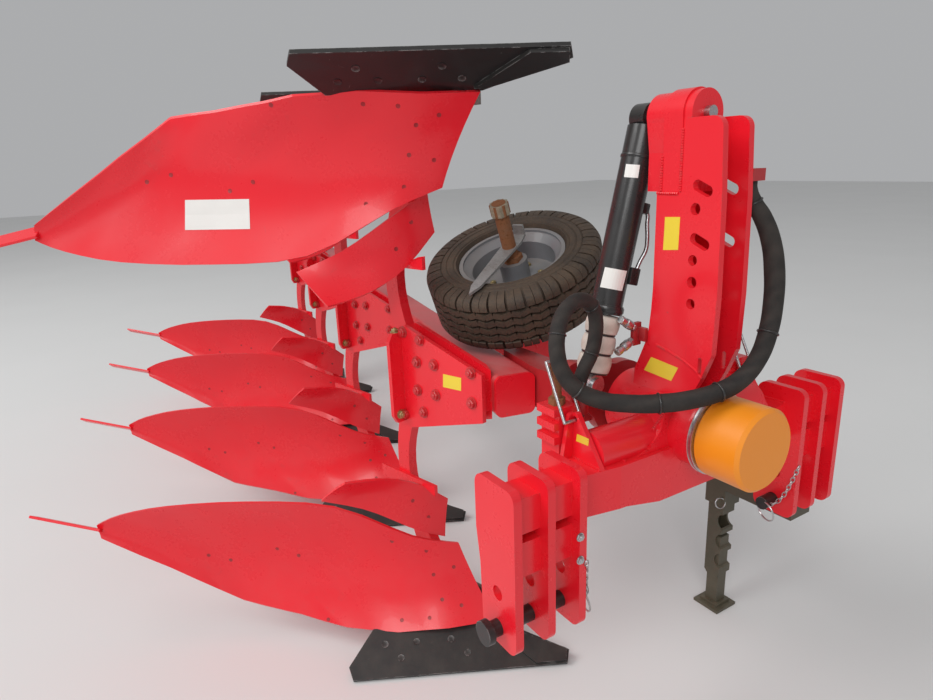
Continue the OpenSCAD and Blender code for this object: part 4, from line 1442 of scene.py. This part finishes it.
@dataclass
class Headstock:
    """Weld beads, couplers, the housing's collar and band, rings, chains and small bolts."""

    frame: Frame
    camera: PhotoCamera
    finisher: Finisher
    bolts: Bolts
    bead: float = 0.0052
    bead_form: Triple = (0.82, 0.82, 0.75)
    # Straight seams in hitch coordinates on the left side; the right side mirrors them
    seams: tuple[Ends, ...] = (
        ((-0.112, 0.0505, 1.448), (-0.050, 0.0505, 1.448)),
        ((-0.0455, 0.0505, 1.452), (-0.0455, 0.0505, 1.585)),
        ((-0.100, 0.0505, 1.452), (-0.100, 0.0505, 1.530)),
        ((-0.098, 0.382, 0.867), (-0.018, 0.382, 0.867)),
        ((-0.098, 0.402, 0.867), (-0.018, 0.402, 0.867)),
        ((-0.012, 0.225, 0.867), (-0.118, 0.225, 0.867)),
        ((-0.108, 0.3035, 0.867), (-0.010, 0.3035, 0.867)),
        ((-0.009, 0.098, 0.969), (-0.009, 0.145, 0.925)))
    # The seam at the tower's foot, as the photograph shows it, and the pixels from bead to bead
    foot_seam: Outline = (
        (657, 345), (668, 351), (684, 361), (696, 371), (701, 379))
    foot_pitch: float = 1.5
    housing_face: float = 0.0353
    round_steps: int = 96
    collar: Outline = (
        (0.050, 0.0), (0.0925, 0.0), (0.0925, 0.0135), (0.0915, 0.0148), (0.050, 0.0148))
    band: Outline = (
        (0.050, 0.0150), (0.0972, 0.0150), (0.0990, 0.0158), (0.0984, 0.0172),
        (0.0984, 0.0252), (0.0990, 0.0266), (0.0972, 0.0274), (0.050, 0.0274))
    screw_turn: float = 200.0
    screw_size: Pair = (0.0055, 0.034)
    screw_at: Triple = (0.1005, 0.0, 0.0212)
    # The screw's housing, and below the plates of the couplers' bracket: size and middle
    screw_block: Ends = ((0.009, 0.020, 0.011), (0.0990, 0.004, 0.0212))
    bracket: tuple[Ends, ...] = (((0.012, 0.026, 0.058), (-0.148, -0.064, 1.112)),
                                 ((0.030, 0.012, 0.034), (-0.136, -0.056, 1.112)))
    bracket_edge: float = 0.002
    coupler_lines: tuple[Ends, ...] = (
        ((-0.148, -0.072, 1.128), (-0.148, -0.124, 1.160)),
        ((-0.148, -0.078, 1.096), (-0.148, -0.135, 1.070)))
    coupler_scale: float = 0.86
    coupler_form: Outline = (
        (0.0001, 0.0), (0.0085, 0.0), (0.0085, 0.010), (0.0125, 0.012), (0.0135, 0.015),
        (0.0135, 0.034), (0.0125, 0.037), (0.0098, 0.038), (0.0098, 0.044), (0.0118, 0.046),
        (0.0118, 0.060), (0.0100, 0.062), (0.0001, 0.062))
    # The nut's radius, height and middle, and the width of its rounded edges
    coupler_nut: Triple = (0.0122, 0.011, 0.0045)
    coupler_edge: float = 0.001
    link: Pair = (0.0072, 0.0016)
    link_form: Triple = (0.72, 1.15, 1.0)
    link_pitch: float = 0.0125
    pin_end: Triple = (-0.028, 0.340, 0.572)
    chain_top: Triple = (0.020, 0.381, 0.700)
    chain_sag: Triple = (0.020, 0.004, 0.030)
    chain_parts: int = 8
    # Each ring's place from its pin's end or the stand's middle, its axis, and its radius and wire
    linch_at: Triple = (0.010, 0.0, -0.022)
    linch_axis: Triple = (0.25, 1.0, 0.2)
    linch_size: Pair = (0.030, 0.0024)
    stand: Triple = (-0.293, 0.524, 0.0)
    sleeve_ring_at: Triple = (0.030, -0.050, 0.420)
    sleeve_ring_axis: Triple = (1.0, -0.4, 0.3)
    sleeve_ring_size: Pair = (0.017, 0.0022)
    plate_pixels: Outline = ((580, 537), (580, 560))
    plate_bolt: float = 0.008

    def _hang(self, piece: Piece, name: str, slot: Slot) -> None:
        """Hangs a piece on the headstock."""
        self.finisher.hang(piece, name, "headstock", slot, degrees=TRIM_SMOOTH)

    def _welds(self) -> None:
        """Beads of weld along the seams of the tower, lugs and hitch plates."""
        places = []
        for side in (-1, 1):
            for ends in self.seams:
                a, b = (hitch(x, side * y, z) for x, y, z in ends)
                count = max(2, int((b - a).length / self.bead))
                places += [facing(a.lerp(b, (k + 0.5) / count), b - a) for k in range(count)]
        for (x0, y0), (x1, y1) in zip(self.foot_seam, self.foot_seam[1:]):
            count = max(2, int(math.hypot(x1 - x0, y1 - y0) / self.foot_pitch))
            pixels = [(x0 + (x1 - x0) * k / count, y0 + (y1 - y0) * k / count)
                      for k in range(count)]
            tower = self.frame["nodes"]["tower"]
            places += [facing(*seen) for seen in self.camera.hits(tower, pixels)]
        Bench.clear()
        bpy.ops.mesh.primitive_ico_sphere_add(subdivisions=1, radius=self.bead)
        bead = bpy.context.active_object
        Bench.stretch(bead, self.bead_form)
        self._hang(Bench.stamp(bead, places, "welds"), "weld_beads", Slot.RED)

    def _clamp(self) -> None:
        """The housing's end ring and the narrow band with its screw, ahead of the housing."""
        place = facing(hitch(self.housing_face, 0, AXIS_Z), Vector((1, 0, 0)))
        collar = Bench.lathe(self.collar, self.round_steps)
        collar.data.transform(place)
        self._hang(collar, "housing_end", Slot.RED)
        band = Bench.lathe(self.band, self.round_steps)
        screw = Bench.cylinder(*self.screw_size, 16, self.screw_at, (math.pi / 2, 0, 0))
        housing = Bench.block(*self.screw_block)
        for part in (screw, housing):
            Bench.settle(part)
            part.data.transform(Matrix.Rotation(math.radians(self.screw_turn), 4, "Z"))
        band = Bench.join([band, screw, housing])
        band.data.transform(place)
        self._hang(band, "cap_band", Slot.BRIGHT)
        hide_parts("clamp_band")

    def _ring(self, at: Vector, normal: Numbers, radius: float, wire: float) -> Piece:
        """One wire ring.

        Args:
            at: Its middle.
            normal: The direction of its axis.
            radius: From its axis to the middle of the wire.
            wire: Radius of the wire.

        Returns:
            The ring.
        """
        made = Bench.torus(radius, wire, 36)
        made.data.transform(facing(at, Vector(normal)))
        return made

    def _chain(self, points: Sequence[Vector]) -> Piece:
        """A chain of round links.

        Args:
            points: The line that it follows.

        Returns:
            The chain.
        """
        places, travelled = [], 0.0
        for a, b in zip(points, points[1:]):
            reach = (b - a).length
            while travelled < reach:
                spin = (len(places) % 2) * math.pi / 2
                places.append(facing(a.lerp(b, travelled / reach), b - a, spin)
                              @ Matrix.Rotation(math.pi / 2, 4, "X"))
                travelled += self.link_pitch
            travelled -= reach
        link = Bench.torus(*self.link, 14, 6)
        Bench.stretch(link, self.link_form)
        return Bench.stamp(link, places, "chain")

    def _couplers(self) -> None:
        """Two quick couplers, each a hexagon, knurled sleeve and nose, on their bracket."""
        body = Bench.lathe(self.coupler_form, 28, closed=False)
        radius, height, middle = self.coupler_nut
        nut = Bench.cylinder(radius, height, 6, (0, 0, middle))
        Bench.edit(nut)
        Bench.pick_edges(nut, lambda a, b: abs(a.z - b.z) < NEAR)
        Bench.bevel(self.coupler_edge)
        places = []
        for ends in self.coupler_lines:
            start, end = (hitch(*point) for point in ends)
            places.append(facing(start, end - start) @ Matrix.Scale(self.coupler_scale, 4))
        self._hang(Bench.stamp(Bench.join([body, nut]), places, "couplers"), "couplers",
                   Slot.BRIGHT)
        parts = [Bench.block(size, hitch(*at)) for size, at in self.bracket]
        for part in parts:
            Bench.round_off(part, self.bracket_edge, 2)
        self._hang(Bench.join(parts), "coupler_bracket", Slot.DARK_RED)

    def _linch_ring(self, side: int, name: str) -> None:
        """The linch ring in one link pin, on its chain.

        Args:
            side: -1 on the right and 1 on the left.
            name: The piece's name.
        """
        pin, top = (hitch(x, side * y, z) for x, y, z in (self.pin_end, self.chain_top))
        loop = self._ring(pin + Vector(self.linch_at), self.linch_axis, *self.linch_size)
        out, aside, sag = self.chain_sag
        slack = []
        for t in range(self.chain_parts + 1):
            drop = -sag * math.sin(math.pi * t / self.chain_parts)
            slack.append(pin.lerp(top, t / self.chain_parts) + Vector((out, side * aside, drop)))
        self._hang(Bench.join([loop, self._chain(slack)]), name, Slot.BRIGHT)

    def build(self) -> None:
        """Makes the headstock's small pieces."""
        self._welds()
        self._couplers()
        self._linch_ring(-1, "linch_ring_right")
        self._linch_ring(1, "linch_ring_left")
        ring_at = hitch(*self.stand) + Vector(self.sleeve_ring_at)
        self._hang(self._ring(ring_at, self.sleeve_ring_axis, *self.sleeve_ring_size),
                   "sleeve_ring", Slot.BRIGHT)
        plates = self.frame["nodes"]["hitch_plates_right"]
        places = [facing(*seen) for seen in self.camera.hits(plates, self.plate_pixels)]
        self.bolts.fix(self.bolts.hexagon(self.plate_bolt), places, "plate_bolts", "headstock",
                       Slot.BRIGHT)
        self._clamp()
        log.info("headstock: welds, couplers, rings and chains")


@dataclass
class TurnoverCylinder:
    """The pipe beside the barrel, the barrel's ports and bands, and the rod's wraps and ties."""

    finisher: Finisher
    top_eye: Triple = (-0.200, 0.0, 1.615)
    drop: float = 0.625
    side: float = 0.164
    barrel: float = 0.039
    reach: float = 0.468
    rod_eye: float = 0.027
    # The pipe's knots: beside the cylinder's axis on two sides, and below the upper eye
    pipe: tuple[Triple, ...] = (
        (0.022, 0.034, 0.205), (0.028, 0.042, 0.215), (0.031, 0.046, 0.240), (0.036, 0.052, 0.275),
        (0.037, 0.054, 0.300), (0.032, 0.048, 0.330), (0.030, 0.044, 0.352))
    pipe_radius: float = 0.0052
    port_edge: float = 0.003
    # Each port's size, and its middle in the same way
    ports: tuple[Ends, ...] = (
        ((0.030, 0.030, 0.042), (0.024, 0.036, 0.368)),
        ((0.026, 0.026, 0.026), (0.020, 0.030, 0.205)))
    # The bands: above the mouth or below the upper eye, out from the barrel, and their height
    upper_band: Triple = (0.092, 0.0012, 0.008)
    gland_band: Triple = (0.012, 0.0044, 0.014)
    band_in: float = 0.004
    band_crown: float = 0.001
    # The wraps: their number, radii and the gap that is left between them
    wrap_count: int = 3
    wrap: float = 0.041
    wrap_bore: float = 0.0185
    wrap_gap: float = 0.002
    wrap_start: float = 0.003
    # A wrap's end: in from its radius and along from its end
    wrap_end: Outline = ((0.008, 0.0), (0.002, 0.004), (0.0, 0.014))
    wrap_crown: float = 0.001
    tie_wire: float = 0.0024
    tie_in: float = 0.006
    round_steps: int = 48

    def length(self) -> float:
        """From the rod's eye to the upper eye."""
        return math.hypot(self.side, self.drop)

    def place(self) -> Matrix:
        """The cylinder's frame, with Z up along it from its rod eye.

        Returns:
            The matrix.
        """
        lean = Matrix.Rotation(-math.atan2(self.side, self.drop), 4, "X")
        return (Matrix.Translation(hitch(*self.top_eye)) @ lean
                @ Matrix.Translation((0, 0, -self.length())))

    def _hang(self, piece: Piece, name: str, body: str, slot: Slot) -> None:
        """Puts a piece that was made along Z in its place on the cylinder."""
        piece.data.transform(self.place())
        self.finisher.hang(piece, name, body, slot, degrees=TRIM_SMOOTH)

    def _wraps(self) -> None:
        """Soft wraps round the rod and their ties."""
        low, r = self.rod_eye + self.wrap_start, self.wrap
        pitch = (self.length() - self.reach - self.wrap_gap - low) / self.wrap_count
        pillows, ties = [], []
        for k in range(self.wrap_count):
            a, b = low + k * pitch, low + (k + 1) * pitch - self.wrap_gap
            rise = [(r - inward, a + along) for inward, along in self.wrap_end]
            fall = [(r - inward, b - along) for inward, along in reversed(self.wrap_end)]
            section = [(self.wrap_bore, a), *rise, (r + self.wrap_crown, (a + b) / 2), *fall,
                       (self.wrap_bore, b)]
            pillows.append(Bench.lathe(section, self.round_steps))
            ties.append(Bench.torus(r - self.tie_in, self.tie_wire, self.round_steps, at=(0, 0, a)))
            Bench.settle(ties[-1])
        axis = self.place().to_3x3() @ Vector((0, 0, 1))
        anchor = self.place() @ Vector((0, 0, self.rod_eye))
        for parts, name, slot in ((pillows, "rod_wraps_soft", Slot.WRAP),
                                  (ties, "wrap_ties", Slot.BLACK)):
            made = Bench.join(parts)
            self._hang(made, name, "rod", slot)
            if slot is Slot.WRAP:
                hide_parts("rod_wraps")
            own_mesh(made)

    def _band(self, height: float, grow: float, tall: float) -> Piece:
        """A band round the barrel.

        Args:
            height: Its middle's height above the rod's eye.
            grow: How far it stands out from the barrel.
            tall: Its own height.

        Returns:
            The band.
        """
        r = self.barrel + grow
        crown = r + self.band_crown
        made = Bench.lathe([(r - self.band_in, -tall / 2), (r, -tall / 2), (crown, -tall / 4),
                            (crown, tall / 4), (r, tall / 2), (r - self.band_in, tall / 2)],
                           self.round_steps)
        made.data.transform(Matrix.Translation((0, 0, height)))
        return made

    def build(self) -> None:
        """Makes the cylinder's small pieces."""
        top = self.length()
        knots = [self.place() @ Vector((x, y, top - z)) for x, y, z in self.pipe]
        Bench.take(Bench.tube(knots, self.pipe_radius, steps=12, rounding=4))
        bpy.ops.object.convert(target="MESH")
        self.finisher.hang(bpy.context.active_object, "cylinder_pipe", "barrel", Slot.BRIGHT,
                           degrees=TRIM_SMOOTH)
        ports = [Bench.block(size, (x, y, top - z)) for size, (x, y, z) in self.ports]
        for port in ports:
            Bench.round_off(port, self.port_edge, 2)
        self._hang(Bench.join(ports), "cylinder_ports", "barrel", Slot.BLACK)
        below, *upper_band = self.upper_band
        above, *gland_band = self.gland_band
        bands = [self._band(top - below, *upper_band),
                 self._band(top - self.reach + above, *gland_band)]
        self._hang(Bench.join(bands), "barrel_bands", "barrel", Slot.BLACK)
        self._wraps()
        log.info("cylinder: pipe, bands and ties")


@dataclass
class SupportWheel:
    """The tyre's carcass and tread, the rim's bolts and the spindle's nut."""

    frame: Frame
    finisher: Finisher
    bolts: Bolts
    radius: float = 0.280
    half: float = 0.095
    rim: float = 0.158
    pitches: int = 32
    carcass: float = 0.268
    tread_half: float = 0.028
    # The side wall: in from the carcass's radius and from its side
    wall: Outline = (
        (0.001, 0.034), (0.006, 0.020), (0.018, 0.009), (0.036, 0.003), (0.040, 0.006),
        (0.046, 0.001), (0.058, 0.001), (0.061, 0.004), (0.066, 0.001))
    # The bead: out from the rim and in from the side
    bead: Outline = (
        (0.030, 0.004), (0.026, 0.008), (0.020, 0.006), (0.014, 0.019), (0.012, 0.030),
        (0.002, 0.037))
    # A shoulder block: in from the tyre's radius, and out from its middle or in from its side
    shoulder_inner: Outline = ((0.016, 0.0545), (0.002, 0.0550), (0.0, 0.0575))
    shoulder_outer: Outline = (
        (0.0005, 0.024), (0.006, 0.0125), (0.016, 0.0050), (0.042, 0.0004), (0.052, 0.0010),
        (0.055, 0.0045), (0.028, 0.022))
    half_block: float = 0.082
    sipe: float = 0.0057
    rib: float = 0.0200
    rib_deep: float = 0.014
    rib_middle: float = 0.0075
    rib_overlap: float = 1.05
    rib_taper: float = 0.9
    slant: float = 19.0
    rib_rows: tuple[float, ...] = (-0.0393, -0.0131, 0.0131, 0.0393)
    degrees: float = 32.0
    hub_bolts: int = 6
    hub_bolt: float = 0.0105
    hub_circle: float = 0.078
    hub_face: float = -0.0105
    nut_radius: float = 0.0315
    nut_height: float = 0.038
    nut_at: float = 0.238
    nut_edge: float = 0.002

    def place(self) -> Matrix:
        """The wheel's frame, with its axle along Z."""
        return (Matrix.Translation(HITCH + WHEEL_AT) @ Matrix.Rotation(WHEEL_TURN, 4, "Z")
                @ Matrix.Rotation(WHEEL_LEAN, 4, "Y"))

    def _profile(self) -> list[Pair]:
        """The carcass's section, from the tread's middle to the bead, mirrored.

        Returns:
            Its points, as radius and place across the tyre.
        """
        side = [(self.carcass, 0.0), (self.carcass, self.tread_half)]
        side += [(self.carcass - inward, self.half - across) for inward, across in self.wall]
        side += [(self.rim + out, self.half - across) for out, across in self.bead]
        return side + [(r, -z) for r, z in reversed(side[1:])]

    def _shoulder_half(self) -> Piece:
        """Half of a shoulder block, which runs from the tread onto the side, from angle 0.

        Returns:
            The half block.
        """
        section = [(self.radius - inward, across) for inward, across in self.shoulder_inner]
        section += [(self.radius - inward, self.half - across)
                    for inward, across in self.shoulder_outer]
        return Bench.lathe(section, 2, angle=self.half_block)

    def _rib_block(self, turn: float, z: float) -> Piece:
        """One slanted half pitch of a zigzag rib.

        Args:
            turn: Its slant in degrees.
            z: Its place across the tread.

        Returns:
            The block, at angle 0.
        """
        length = math.pi * self.radius / self.pitches * self.rib_overlap
        block = Bench.block((self.rib_deep, length, self.rib))
        Bench.edit(block)
        Bench.pick_faces(block, lambda c, n: n.x > 0.9)
        bpy.ops.transform.resize(value=(1, 1, self.rib_taper))
        Bench.clear()
        block.rotation_euler = (math.radians(turn), 0, 0)
        block.location = (self.radius - self.rib_middle, 0, z)
        return block

    def build(self) -> None:
        """Makes the tyre in place of its plain solid, and the bolts and nut of the wheel."""
        parts = [Bench.lathe(self._profile(), 96)]
        step = math.tau / self.pitches
        for side in (0, 1):
            flip = Matrix.Rotation(side * math.pi, 4, "X")
            for start in (-self.half_block - self.sipe / 2, self.sipe / 2):
                places = [Matrix.Rotation((k + 0.5 * side) * step, 4, "Z") @ flip
                          @ Matrix.Rotation(start, 4, "Z") for k in range(self.pitches)]
                parts.append(Bench.stamp(self._shoulder_half(), places, "shoulder"))
        for z in self.rib_rows:
            for k, turn in ((0, self.slant), (1, -self.slant)):
                places = [Matrix.Rotation((j + k * 0.5) * step, 4, "Z")
                          for j in range(self.pitches)]
                parts.append(Bench.stamp(self._rib_block(turn, z), places, "rib"))
        tyre = Bench.join(parts)
        tyre.data.transform(self.place())
        self.finisher.hang(tyre, "tyre_tread", "wheel", Slot.RUBBER, degrees=self.degrees)
        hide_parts("tyre")
        places = [self.place() @ Matrix.Rotation(k * math.tau / self.hub_bolts, 4, "Z")
                  @ Matrix.Translation((self.hub_circle, 0, self.hub_face))
                  for k in range(self.hub_bolts)]
        self.bolts.fix(self.bolts.hexagon(self.hub_bolt), places, "rim_bolts", "wheel",
                       Slot.BRIGHT, BOLT_ZINC)
        nut = Bench.cylinder(self.nut_radius, self.nut_height, 6, (0, 0, self.nut_at))
        Bench.edit(nut)
        Bench.pick_edges(nut, lambda a, b: abs(a.z - b.z) < NEAR)
        Bench.bevel(self.nut_edge)
        Bench.settle(nut)
        nut.data.transform(self.place())
        self.finisher.hang(nut, "spindle_nut", "swing", Slot.BRIGHT, NUT_STEEL)
        self.finisher.dress(self.frame["nodes"]["scraper"], SCRAPER_STEEL)
        log.info("wheel: tyre with %d pitches", self.pitches)


def main() -> None:
    """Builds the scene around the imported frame."""
    logging.basicConfig(level=logging.INFO, format="%(message)s")
    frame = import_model()
    camera = PhotoCamera()
    camera.build()
    Studio().build()
    bpy.context.scene.view_settings.view_transform = "Standard"
    finisher = Finisher()
    finisher.dress_frame(frame)
    bolts = Bolts(finisher)
    HoseBundle(finisher).build()
    plates = RolledPlates(frame, finisher).build()
    frame = {**frame, "nodes": {**frame["nodes"], **plates}}
    PloughBodies(frame, camera, finisher, bolts).build()
    Labels(frame, camera, finisher).build()
    Headstock(frame, camera, finisher, bolts).build()
    TurnoverCylinder(finisher).build()
    SupportWheel(frame, finisher, bolts).build()
    Bench.clear()


if __name__ == "__main__":
    main()
